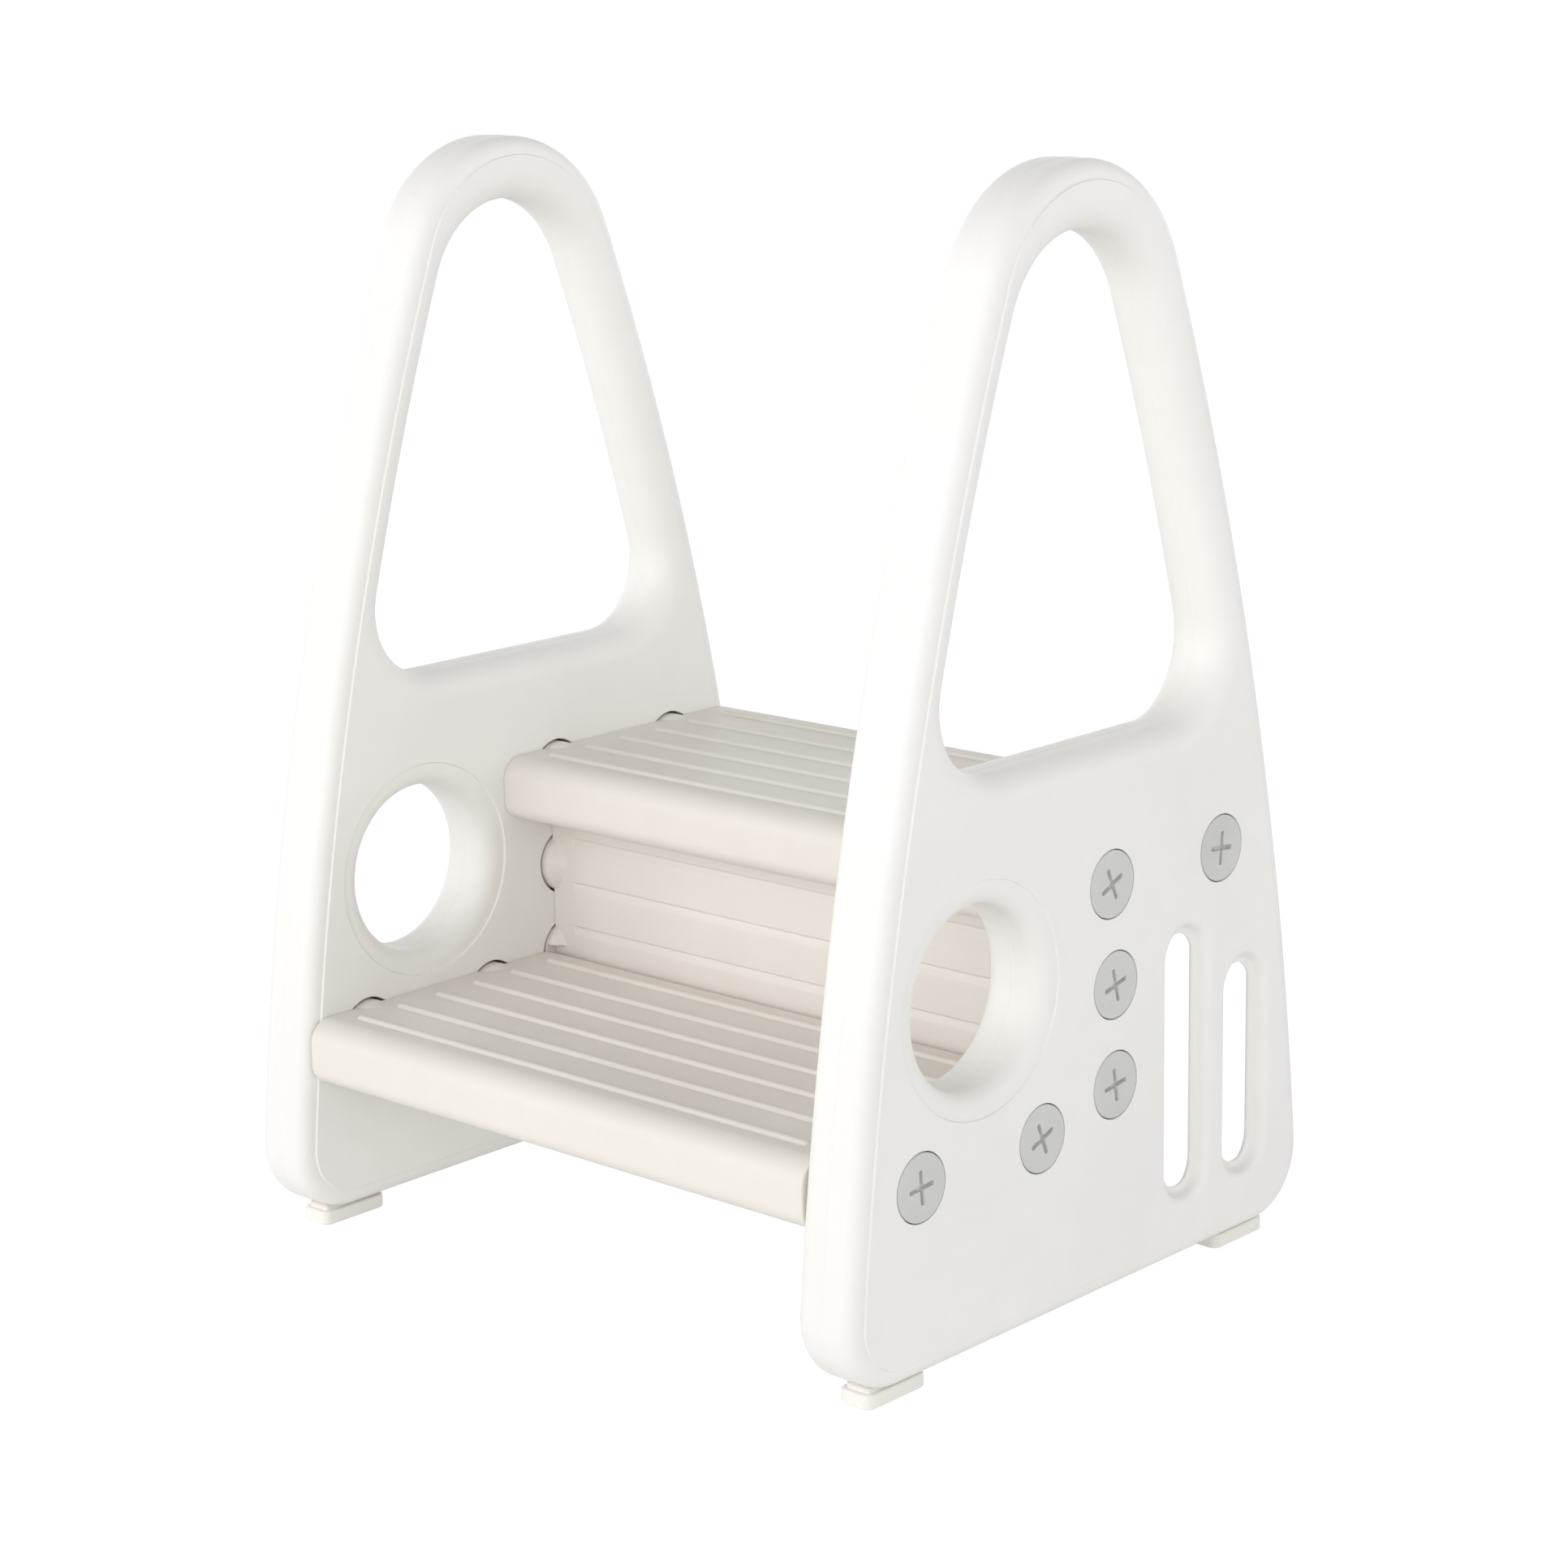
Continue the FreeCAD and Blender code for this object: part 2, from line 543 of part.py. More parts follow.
right_panel = hollow("right_side_panel", panel_form(), panel_cavity())
place(right_panel, x="tread_length / 2 + panel_thick / 2")
left_panel = doc.addObject("Part::Mirroring", "left_side_panel")
left_panel.Label = "left_side_panel"
left_panel.Source = right_panel
left_panel.Base = FreeCAD.Vector(0, 0, 0)
left_panel.Normal = FreeCAD.Vector(1, 0, 0)
pieces = [right_panel, left_panel]


# ---------------------------------------------------------------- treads and riser

def thread_profile(start, grow):
    """Half section of the screw's shank along its axis, from a start to past its tip.

    Distances run inwards from the panel's outer face.  The grown profile is the bore's.
    """
    core = f"(screw_core + {grow})"
    crest = f"(screw_core + thread_height + {grow})"
    points = [(start, "0"), (start, core)]
    for k in range(RIDGES):
        middle = f"{BOSS_TIP_PLACE} + thread_lead + {k} * thread_pitch"
        points += [
            (f"({middle} - thread_root / 2 - {grow})", core),
            (f"({middle} - thread_crest / 2 - {grow})", crest),
            (f"({middle} + thread_crest / 2 + {grow})", crest),
            (f"({middle} + thread_root / 2 + {grow})", core),
        ]
    end = f"({SCREW_LENGTH} + {grow})"
    return points + [(end, core), (end, "0")]


def board_blank(body, depth, thick, inset, roundings):
    """Long block with rounded long edges, drawn in by an inset."""
    sketch = new_sketch(body, "blank_sketch", "YZ_Plane")
    near, low = inset, inset
    far, high = f"({depth} - {inset})", f"({thick} - {inset})"
    add_rectangle(sketch, "blank", (near, low), (far, high))
    pad(body, sketch, f"tread_length - 2 * {inset}", Midplane=True)
    for name, y, z, radius in roundings:
        corner = [value_of({"near": near, "far": far, "low": low, "high": high}[key]) for key in (y, z)]
        fillet(body, name, f"{radius} - {inset}", long_edges(body.Tip.Shape, *corner))


def add_bosses(body, places):
    """Bosses with threaded bores on both ends of a board; places are pairs of expressions."""
    end = "tread_length / 2"
    for k, (y, z) in enumerate(places):
        for side, name in (("", "right"), ("0 - ", "left")):
            shape = new_sketch(body, f"boss_{name}_{k}_sketch", "XY_Plane", ("0", y, z))
            add_polygon(shape, "boss", [
                (f"({side}({end} - boss_fade))", "0"),
                (f"({side}({end} - boss_fade))", "(boss_radius - boss_fade_drop)"),
                (f"({side}({end}))", "boss_radius"),
                (f"({side}({end} + {BOSS_LENGTH} - boss_tip))", "boss_radius"),
                (f"({side}({end} + {BOSS_LENGTH}))", "(boss_radius - boss_tip)"),
                (f"({side}({end} + {BOSS_LENGTH}))", "0")])
            revolve(body, shape)
            bore = new_sketch(body, f"bore_{name}_{k}_sketch", "XY_Plane", ("0", y, z))
            outer = f"{end} + panel_thick"
            add_polygon(bore, "bore", [
                (f"({side}({outer} - {along}))", out)
                for along, out in thread_profile("(screw_head_thick + seat_web)", "thread_gap")])
            groove(body, bore)


def tread(name, y, z):
    """One hollow tread with grip beads along its top."""
    roundings = [
        ("nose_top", "near", "high", "nose_top_round"),
        ("nose_low", "near", "low", "nose_low_round"),
        ("back_top", "far", "high", "tread_back_round"),
        ("back_low", "far", "low", "tread_back_round"),
    ]
    form = new_body(name + "_form")
    board_blank(form, "tread_depth", "tread_thick", "0", roundings)
    beads = new_sketch(form, "beads_sketch", "XY_Plane", ("0", "0", "tread_thick"))
    reach = "(tread_length / 2 - bead_end - bead_width / 2)"
    add_obround(beads, "bead", [(f"(0 - {reach})", "bead_first"), (reach, "bead_first")],
                "bead_width / 2", flat="across")
    bead = pad(form, beads, "bead_height")
    repeat_along(form, bead, "Y_Axis", "bead_pitch", "bead_count")
    top = value_of("tread_thick + bead_height")
    fillet(form, "bead_round", "min(bead_height;bead_width / 2) * 0.6",
           [edge for edge in form.Tip.Shape.Edges if lies_at(edge, "Z", top)])
    screw_z = "(boss_floor + boss_radius)"
    add_bosses(form, [("screw_setback", screw_z), ("(screw_setback + screw_spacing)", screw_z)])
    vent = new_sketch(form, "vent_sketch", "XY_Plane")
    add_circle(vent, "vent", "0", "tread_depth / 2", "vent_radius")
    pocket(form, vent, "wall", Reversed=True)

    cavity = new_body(name + "_cavity")
    board_blank(cavity, "tread_depth", "tread_thick", "wall", roundings)
    piece = hollow(name, form, cavity)
    place(piece, y=y, z=z)
    return piece


def riser():
    """The hollow riser board, with grooves across its front."""
    roundings = [(f"{y}_{z}", y, z, "riser_round") for y in ("near", "far") for z in ("low", "high")]
    form = new_body("riser_form")
    board_blank(form, "riser_thick", "step_rise", "0", roundings)
    grooves = new_sketch(form, "grooves_sketch", "XZ_Plane")
    reach = "(tread_length / 2 - bead_end - bead_width / 2)"
    add_obround(grooves, "groove", [(f"(0 - {reach})", "groove_first"), (reach, "groove_first")],
                "bead_width / 2", flat="across")
    cut = pocket(form, grooves, "groove_cut")
    repeat_along(form, cut, "Z_Axis", "groove_pitch", "groove_count")
    add_bosses(form, [("riser_thick / 2", f"(step_rise / 2 {sign} riser_spacing / 2)") for sign in "-+"])

    # Nothing of the riser stands in front of its face beside the lower tread's rear edge.
    notch = new_sketch(form, "notch_sketch", "YZ_Plane")
    add_rectangle(notch, "notch", ("(0 - boss_radius)", "(0 - bead_height)"),
                  ("0", "(tread_thick + bead_height)"))
    pocket(form, notch, "tread_length", Midplane=True)
    vent = new_sketch(form, "vent_sketch", "XZ_Plane", ("0", "0", "(0 - riser_thick)"))
    add_circle(vent, "vent", "0", "step_rise / 2", "vent_radius")
    pocket(form, vent, "wall", Reversed=True)

    cavity = new_body("riser_cavity")
    board_blank(cavity, "riser_thick", "step_rise", "wall", roundings)
    piece = hollow("riser", form, cavity)
    place(piece, y=RISER_FRONT, z=TREAD_LOW)
    return piece


pieces.append(tread("lower_tread", "0 - tread_reach", TREAD_LOW))
pieces.append(tread("upper_tread", "step_run - tread_reach", f"{TREAD_LOW} + step_rise"))
pieces.append(riser())


# ---------------------------------------------------------------- screws

def screw(name, side, y, z, turn):
    """Coarse plastic screw along X; its head's face is at its origin."""
    body = new_body(name)
    body.Label = name
    head = new_sketch(body, "head_sketch", "XY_Plane")
    add_polygon(head, "head", [
        ("0", "0"), ("0", "(screw_head - screw_edge)"), ("(0 - screw_edge)", "screw_head"),
        ("(0 - screw_head_thick)", "screw_head"), ("(0 - screw_head_thick)", "0")])
    revolve(body, head)
    shank = new_sketch(body, "shank_sketch", "XY_Plane")
    add_polygon(shank, "shank", [
        (f"(0 - {along})", out) for along, out in thread_profile("screw_head_thick", "0")])
    revolve(body, shank)
    cross = new_sketch(body, "cross_sketch", "YZ_Plane")
    arm, half = "cross_reach", "(cross_width / 2)"
    back_arm, back_half = f"(0 - {arm})", f"(0 - {half})"
    add_polygon(cross, "cross", [
        (half, half), (half, arm), (back_half, arm), (back_half, half), (back_arm, half), (back_arm, back_half),
        (back_half, back_half), (back_half, back_arm), (half, back_arm), (half, back_half),
        (arm, back_half), (arm, half)])
    pocket(body, cross, "cross_cut")
    about_x = FreeCAD.Rotation(FreeCAD.Vector(1, 0, 0), turn)
    about_z = FreeCAD.Rotation(FreeCAD.Vector(0, 0, 1), 0 if side > 0 else 180)
    body.Placement = FreeCAD.Placement(FreeCAD.Vector(0, 0, 0), about_z * about_x)
    sign = "" if side > 0 else "0 - "
    place(body, x=f"{sign}(tread_length / 2 + panel_thick)", y=y, z=z)
    return body


for place_name, (screw_y, screw_z, cross_turn) in SCREWS.items():
    for side_name, side in (("left", -1), ("right", 1)):
        pieces.append(screw(f"{side_name}_{place_name}_screw", side, screw_y, screw_z, cross_turn))


# ---------------------------------------------------------------- feet

def foot(name, x, y):
    """Rubber pad with a neck and a barbed stud that snaps into the panel's underside."""
    body = new_body(name)
    body.Label = name
    sole = new_sketch(body, "pad_sketch", "XY_Plane")
    add_rectangle(sole, "pad", ("(0 - foot_width / 2)", "(0 - foot_length / 2)"),
                  ("foot_width / 2", "foot_length / 2"))
    pad(body, sole, "foot_pad")
    upright = [edge for edge in body.Tip.Shape.Edges if edge.BoundBox.ZLength > TINY]
    fillet(body, "corners", "foot_corner", upright)
    high = value_of("foot_pad")
    rims = [edge for edge in body.Tip.Shape.Edges if lies_at(edge, "Z", 0) or lies_at(edge, "Z", high)]
    fillet(body, "rims", "foot_round", rims)
    neck = new_sketch(body, "neck_sketch", "XY_Plane", ("0", "0", "foot_pad"))
    half_x, half_y = "(foot_width / 2 - foot_neck_inset)", "(foot_length / 2 - foot_neck_inset)"
    add_rectangle(neck, "neck", (f"(0 - {half_x})", f"(0 - {half_y})"), (half_x, half_y))
    pad(body, neck, "foot_neck")
    stem = new_sketch(body, "stem_sketch", "XY_Plane", ("0", "0", PANEL_LOW))
    add_circle(stem, "stem", "0", "0", "stud_radius")
    pad(body, stem, "wall + stud_gap")
    head = new_sketch(body, "stud_sketch", "XY_Plane", ("0", "0", f"({PANEL_LOW} + wall + stud_gap)"))
    add_circle(head, "stud", "0", "0", "(stud_radius + stud_barb)")
    pad(body, head, "stud_head")
    fillet(body, "stud_round", "stud_barb",
           [edge for edge in body.Tip.Shape.Edges if lies_at(edge, "Z", body.Tip.Shape.BoundBox.ZMax)])
    place(body, x=x, y=y)
    return body


for side_name, sign in (("left", "0 - "), ("right", "")):
    panel_x = f"{sign}(tread_length / 2 + panel_thick / 2)"
    pieces.append(foot(f"{side_name}_front_foot", panel_x, f"foot_setback - {HALF_DEPTH}"))
    pieces.append(foot(f"{side_name}_rear_foot", panel_x, f"{HALF_DEPTH} - foot_setback"))


# ---------------------------------------------------------------- check and write

doc.recompute()
for item in doc.Objects:
    if "Invalid" in item.State or "Error" in item.State:
        raise RuntimeError(f"{item.Name} failed: {item.State}")
for piece in pieces:
    shape = piece.Shape
    if shape.isNull() or not shape.isValid() or len(shape.Solids) != 1:
        raise RuntimeError(f"{piece.Label} is not one valid solid")

os.makedirs("parts", exist_ok=True)
for piece in pieces:
    piece.Shape.exportStep(f"parts/{piece.Label}.step")
    box = piece.Shape.BoundBox
    print(f"{piece.Label:32s} {piece.Shape.Volume / 1000:8.1f} cm3  "
          f"{box.XLength:6.1f} x {box.YLength:6.1f} x {box.ZLength:6.1f} mm")
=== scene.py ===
# %% [markdown]
# # A child's two-step stool
#
# The stool is twenty-one mouldings: two side panels with hoop handles, two ribbed
# treads, a riser board, twelve coarse plastic screws and four rubber feet. The panels and
# the boards are blow-moulded: a hot tube of polyethylene is blown against a cold mould, so
# every edge is soft, every face sags a little, and a faint seam runs round each piece where
# the mould's halves meet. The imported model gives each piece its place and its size. Here
# each one gets the surface that the mould gives it.

# %% The frame
import math
import bmesh
import bpy
import numpy as np
from mathutils import Matrix, Vector
from mathutils.geometry import delaunay_2d_cdt


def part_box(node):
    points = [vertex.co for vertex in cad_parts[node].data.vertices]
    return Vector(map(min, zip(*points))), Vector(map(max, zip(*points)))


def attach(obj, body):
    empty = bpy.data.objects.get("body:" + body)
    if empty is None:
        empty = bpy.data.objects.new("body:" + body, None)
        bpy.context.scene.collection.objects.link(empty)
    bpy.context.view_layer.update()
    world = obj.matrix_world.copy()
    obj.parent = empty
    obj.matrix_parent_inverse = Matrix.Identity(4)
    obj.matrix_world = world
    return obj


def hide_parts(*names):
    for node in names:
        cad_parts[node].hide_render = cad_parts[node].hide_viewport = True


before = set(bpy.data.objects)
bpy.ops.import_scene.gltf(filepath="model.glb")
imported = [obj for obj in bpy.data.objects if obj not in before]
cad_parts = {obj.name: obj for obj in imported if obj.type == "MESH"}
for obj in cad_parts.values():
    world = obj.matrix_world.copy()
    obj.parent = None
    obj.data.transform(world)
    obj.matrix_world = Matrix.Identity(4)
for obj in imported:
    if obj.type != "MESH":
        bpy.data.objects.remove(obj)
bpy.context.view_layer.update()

MM = 0.001

# %% [markdown]
# ## Loops and sections
#
# A blow-moulded shell is described well by two kinds of curve. A loop is a closed line seen
# from the side, such as a panel's outline or a porthole. A section is the profile met when
# crossing from the face over the edge to the other face. Carrying the section round the
# loop gives the whole edge. Spinning or extruding primitives could do it too, but then a
# porthole and an arched handle would need different tools; with loops and sections they are
# the same one. All of this is worked out in millimetres and made metres at the end.

# %% Loops
def arc(centre, radius, start, end, spacing=2.5, through=()):
    """Points centre + radius (cos a, sin a) and normals (cos a, sin a), from start to end,
    in radians, and at any angles that it has to pass through. The last point is left out,
    because the next run begins there."""
    count = max(3, math.ceil(abs(end - start) * radius / spacing))
    angle = np.linspace(start, end, count, endpoint=False)
    if len(through):
        near = np.abs(angle[:, None] - np.asarray(through)[None, :]).min(1) * radius
        angle = np.sort(np.concatenate([angle[near > 0.3 * spacing], through]))
    normal = np.stack([np.cos(angle), np.sin(angle)], 1)
    return np.asarray(centre, float) + radius * normal, normal


def line(start, end, spacing=4.0):
    """Points start + t (end - start), and the normal on the right hand of that direction."""
    start, end = np.asarray(start, float), np.asarray(end, float)
    length = np.linalg.norm(end - start)
    share = np.linspace(0, 1, max(1, math.ceil(length / spacing)), endpoint=False)[:, None]
    along = (end - start) / length
    return start + share * (end - start), np.tile([along[1], -along[0]], (len(share), 1))


def chain(*runs):
    """Join runs into one loop: an array of points and an array of outward normals."""
    return np.concatenate([run[0] for run in runs]), np.concatenate([run[1] for run in runs])


def circle(centre, radius, spacing=2.0):
    """A closed circle: one arc from 0 to 2 pi."""
    return chain(arc(centre, radius, 0, 2 * math.pi, spacing))


def obround(low, high, radius, spacing=2.0):
    """Upright slot: two half circles of the radius, joined by straight sides."""
    side = np.array([radius, 0])
    low, high = np.array(low, float), np.array(high, float)
    return chain(line(low + side, high + side), arc(high, radius, 0, math.pi, spacing),
                 line(high - side, low - side), arc(low, radius, math.pi, 2 * math.pi, spacing))


def rounded_polygon(corners, spacing=2.0):
    """Loop through corners (across, up, radius), counter-clockwise. Each corner is an arc
    that touches both its sides: its centre is radius / sin(half angle) from the corner. At an
    inward corner the arc turns the other way, and so do its normals."""
    places = np.array([corner[:2] for corner in corners], float)
    runs, ends = [], []
    for k, (across, up, radius) in enumerate(corners):
        to_last = places[k - 1] - places[k]
        to_next = places[(k + 1) % len(corners)] - places[k]
        to_last, to_next = to_last / np.linalg.norm(to_last), to_next / np.linalg.norm(to_next)
        half = math.acos(np.clip(to_last @ to_next, -1, 1)) / 2
        middle = (to_last + to_next) / np.linalg.norm(to_last + to_next)
        centre = places[k] + middle * radius / math.sin(half)
        start, end = [places[k] + way * radius / math.tan(half) for way in (to_last, to_next)]
        first = math.atan2(*(start - centre)[::-1])
        bend = 1 if to_next[0] * to_last[1] > to_next[1] * to_last[0] else -1
        ends.append((start, end, centre, radius, first, bend, math.pi - 2 * half))
    for k, (start, end, centre, radius, first, bend, turn) in enumerate(ends):
        points, normals = arc(centre, radius, first, first + bend * turn, spacing)
        runs.append((points, bend * normals))
        runs.append(line(end, ends[(k + 1) % len(ends)][0]))
    return chain(*runs)


# %% Sections
def section(*corners, steps=5, margin=0.25):
    """Profile through corners (into, height, radius). Each corner is an arc tangent to both
    its sides, swung from one touching point to the other, with one more point a little
    before it and after it, so that the shading of the flats stays flat."""
    places = [np.array(corner[:2], float) for corner in corners]
    points = [places[0]]
    for last, here, following, corner in zip(places, places[1:], places[2:], corners[1:]):
        radius = corner[2]
        back, ahead = last - here, following - here
        back, ahead = back / np.linalg.norm(back), ahead / np.linalg.norm(ahead)
        half = math.acos(np.clip(back @ ahead, -1, 1)) / 2
        reach = radius / math.tan(half)
        centre = here + (back + ahead) / np.linalg.norm(back + ahead) * radius / math.sin(half)
        start, end = here + back * reach - centre, here + ahead * reach - centre
        turn = math.pi - 2 * half
        share = np.linspace(0, 1, steps + 1)[:, None]
        swing = (np.sin((1 - share) * turn) * start + np.sin(share * turn) * end) / math.sin(turn)
        points.append(centre + start + back * margin)
        points.extend(centre + swing)
        points.append(centre + end + ahead * margin)
    points.append(places[-1])
    return np.array(points)


# %% Surfaces
def across_x(flat, height):
    """(y, z) and a height along X, as points in space."""
    return np.stack([height, flat[..., 0], flat[..., 1]], -1)


def across_z(flat, height):
    """(x, y) and a height along Z, as points in space."""
    return np.stack([flat[..., 0], flat[..., 1], height], -1)


def band(loop, profile, lift=across_x):
    """Surface S(u, v) = loop(u) - into(v) normal(u), raised to height(v)."""
    points, normals = loop
    into, height = profile[:, 0], profile[:, 1]
    flat = points[:, None] - normals[:, None] * into[None, :, None]
    return lift(flat, np.broadcast_to(height, flat.shape[:2]))


def grid_faces(rows, columns):
    """Quads of a grid that is closed round its rows and open along its columns."""
    u, v = np.meshgrid(np.arange(rows), np.arange(columns - 1), indexing="ij")
    after = (u + 1) % rows
    quads = [u * columns + v, after * columns + v, after * columns + v + 1, u * columns + v + 1]
    return np.stack(quads, -1).reshape(-1, 4)


def inset(loop, into):
    """The loop drawn in along its normals, as points only."""
    return loop[0] - loop[1] * into


def inside(points, rings):
    """Whether each point lies in the outline but in no hole: a ray to the right crosses the
    rings an odd number of times."""
    crossings = np.zeros(len(points), int)
    for ring in rings:
        a, b = ring, np.roll(ring, -1, 0)
        rise = np.where(a[:, 1] == b[:, 1], 1e-12, b[:, 1] - a[:, 1])
        for part in np.array_split(np.arange(len(points)), 1 + len(points) // 2000):
            across, up = points[part, 0:1], points[part, 1:2]
            spans = (a[:, 1] > up) != (b[:, 1] > up)
            meets = across < a[:, 0] + (up - a[:, 1]) / rise * (b[:, 0] - a[:, 0])
            crossings[part] += (spans & meets).sum(1)
    return crossings % 2 == 1


def fill(rings, height, lift=across_x, pitch=9.0, creases=()):
    """Flat face between an outline and its holes, at one height: a constrained Delaunay
    triangulation of the rings and of a grid of inner points, kept where it is inside. A
    crease is a line of points that the face has to follow; its two ends are the points of
    the rings that are nearest to it."""
    # The triangulation keeps single-precision values, so the rings take them too.
    rings = [np.asarray(ring, np.float32).astype(float) for ring in rings]
    low, high = rings[0].min(0), rings[0].max(0)
    grid = np.stack(np.meshgrid(*[np.arange(l + pitch / 2, h, pitch) for l, h in zip(low, high)]), -1)
    grid = grid.reshape(-1, 2)
    edge = np.concatenate(rings)
    drawn = np.concatenate([edge, *[crease[1:-1] for crease in creases]])
    clear = np.array([np.min(((drawn - p) ** 2).sum(1)) > (pitch * 0.45) ** 2 for p in grid], bool)
    grid = grid[clear]
    grid = grid[inside(grid, rings)] if len(grid) else grid
    links, first = [], 0
    for ring in rings:
        count = len(ring)
        links += [(first + k, first + (k + 1) % count) for k in range(count)]
        first += count
    for crease in creases:
        ends = [int(np.argmin(((edge - crease[k]) ** 2).sum(1))) for k in (0, -1)]
        row = [ends[0], *range(first, first + len(crease) - 2), ends[1]]
        links += list(zip(row, row[1:]))
        first += len(crease) - 2
    made = delaunay_2d_cdt([Vector(p) for p in np.concatenate([drawn, grid])], links, [], 0, 1e-6)
    flat = np.array([tuple(v) for v in made[0]])
    triangles = np.array(made[2])
    triangles = triangles[inside(flat[triangles].mean(1), rings)]
    return lift(flat, np.full(len(flat), float(height))), triangles


# %% Pieces
def make_piece(name, parts, warp=None):
    """One mesh object from parts (points, faces) in millimetres. The parts' shared rims are
    merged, faces are turned outwards, and the volume that they close is printed."""
    mesh = bpy.data.meshes.new(name)
    build = bmesh.new()
    for points, faces in parts:
        points = points.reshape(-1, 3)
        points = (warp(points) if warp else points) * MM
        part = bpy.data.meshes.new("part")
        part.from_pydata(points.tolist(), [], faces.tolist())
        build.from_mesh(part)
        bpy.data.meshes.remove(part)
    bmesh.ops.remove_doubles(build, verts=build.verts, dist=0.004 * MM)
    bmesh.ops.dissolve_degenerate(build, edges=build.edges, dist=0.0001 * MM)
    bmesh.ops.recalc_face_normals(build, faces=build.faces)
    if build.calc_volume(signed=True) < 0:
        bmesh.ops.reverse_faces(build, faces=build.faces)
    open_edges = sum(1 for edge in build.edges if not edge.is_manifold)
    litres = build.calc_volume(signed=True) * 1000
    build.to_mesh(mesh)
    build.free()
    mesh.shade_smooth()
    piece = bpy.data.objects.new(name, mesh)
    bpy.context.scene.collection.objects.link(piece)
    print(f"{name}: {len(mesh.polygons)} faces, {litres:.3f} l, {open_edges} open edges")
    return piece


# %% [markdown]
# ## The side panels
#
# A side panel is a hollow board about as thick as a hand, with an arched top that the child
# holds on to. Its faces are flat and stop at a small step, a finger's breadth from the
# outline. Outside that step the edge rolls over. Round the handle's opening it rolls far
# more, so that the legs of the handle feel like a tube. The outline and the opening are each
# one straight sill, two corner arcs, two very long arcs up the flanks, and a crown, all
# tangent, so both come out of one function.

# %% Where the panels are
PANEL_LOW, PANEL_HIGH = [np.array(corner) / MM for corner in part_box("right_side_panel")]
MIDDLE_X = (PANEL_LOW[0] + PANEL_HIGH[0]) / 2
HALF_THICK = (PANEL_HIGH[0] - PANEL_LOW[0]) / 2
HALF_DEPTH = (PANEL_HIGH[1] - PANEL_LOW[1]) / 2
BOTTOM, TOP = PANEL_LOW[2], PANEL_HIGH[2]
OUTER, INNER = HALF_THICK, -HALF_THICK     # heights along X from the panel's middle
print("panel half thickness", round(HALF_THICK, 2), "half depth", round(HALF_DEPTH, 2))

# %% The arch
CORNER, FLANK, CROWN = 38.0, 1860.0, 80.0
SILL, LEG, HANDLE_CROWN, OPENING_CORNER = 307.0, 26.0, 35.0, 40.0


def arch(corner_centre, corner, flank_centre, flank, crown_centre, crown, corner_through=(),
         flank_through=()):
    """Sill, two corners, two flanks and a crown. Circles that touch have their centres in
    line with the touching point, which gives the angles where one arc hands over to the next.
    The rear corner and the rear flank also pass through any angles that are given."""
    (cy, cz), (fy, fz) = corner_centre, flank_centre
    low = math.atan2(cz - fz, cy - fy)
    high = math.atan2(crown_centre - fz, -fy)
    return chain(
        line((-cy, cz - corner), (cy, cz - corner)),
        arc((cy, cz), corner, -math.pi / 2, low, through=corner_through),
        arc((fy, fz), flank, low, high, spacing=4.0, through=flank_through),
        arc((0, crown_centre), crown, high, math.pi - high),
        arc((-fy, fz), flank, math.pi - high, math.pi - low, spacing=4.0),
        arc((-cy, cz), corner, math.pi - low, 1.5 * math.pi))


def flank_middle(corner_centre, corner, crown_centre):
    """Centre of the flank's circle, which touches the corner's and the crown's from outside:
    the point at FLANK - corner from one and FLANK - CROWN from the other."""
    start, end = np.array(corner_centre), np.array([0.0, crown_centre])
    span = np.linalg.norm(end - start)
    near, far = FLANK - corner, FLANK - CROWN
    along = (near ** 2 - far ** 2 + span ** 2) / (2 * span)
    aside = math.sqrt(near ** 2 - along ** 2)
    way = (end - start) / span
    return start + along * way + aside * np.array([-way[1], way[0]])


# Half the depth at the arcs' widest point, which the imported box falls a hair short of.
DEPTH = 191.0
corner_centre = (DEPTH - CORNER, BOTTOM + CORNER)
crown_centre = TOP - CROWN
FLANK_CENTRE = flank_middle(corner_centre, CORNER, crown_centre)
OUTLINE_FLAT = 10.9                     # from the outline to the flat of the face

opening_flank = FLANK - LEG
rise = TOP - HANDLE_CROWN - FLANK_CENTRE[1]
opening_crown = (FLANK_CENTRE[0] ** 2 + rise ** 2 - opening_flank ** 2) / (2 * (rise - opening_flank))
opening_z = SILL + OPENING_CORNER
opening_y = FLANK_CENTRE[0] + math.sqrt((opening_flank - OPENING_CORNER) ** 2
                                        - (opening_z - FLANK_CENTRE[1]) ** 2)
opening = arch((opening_y, opening_z), OPENING_CORNER, FLANK_CENTRE, opening_flank,
               TOP - HANDLE_CROWN - opening_crown, opening_crown)
print("opening", len(opening[0]), "points, crown radius", round(opening_crown, 1))

# %% [markdown]
# The outline's section starts on the flat face, drops about a millimetre at the step, runs
# along the shoulder and rolls over to the side. In the middle of the side is the mould's
# seam, a ridge as thin as a nail. The section is drawn for one half and mirrored for the
# other, because both halves of the mould are alike here.

# %% Edge sections
SEAM_HEIGHT, SEAM_WIDTH = 0.22, 0.7

def both_halves(half):
    """A profile from a face to the middle of the side, followed by its mirror image."""
    return np.concatenate([half, half[::-1] * [1, -1]])


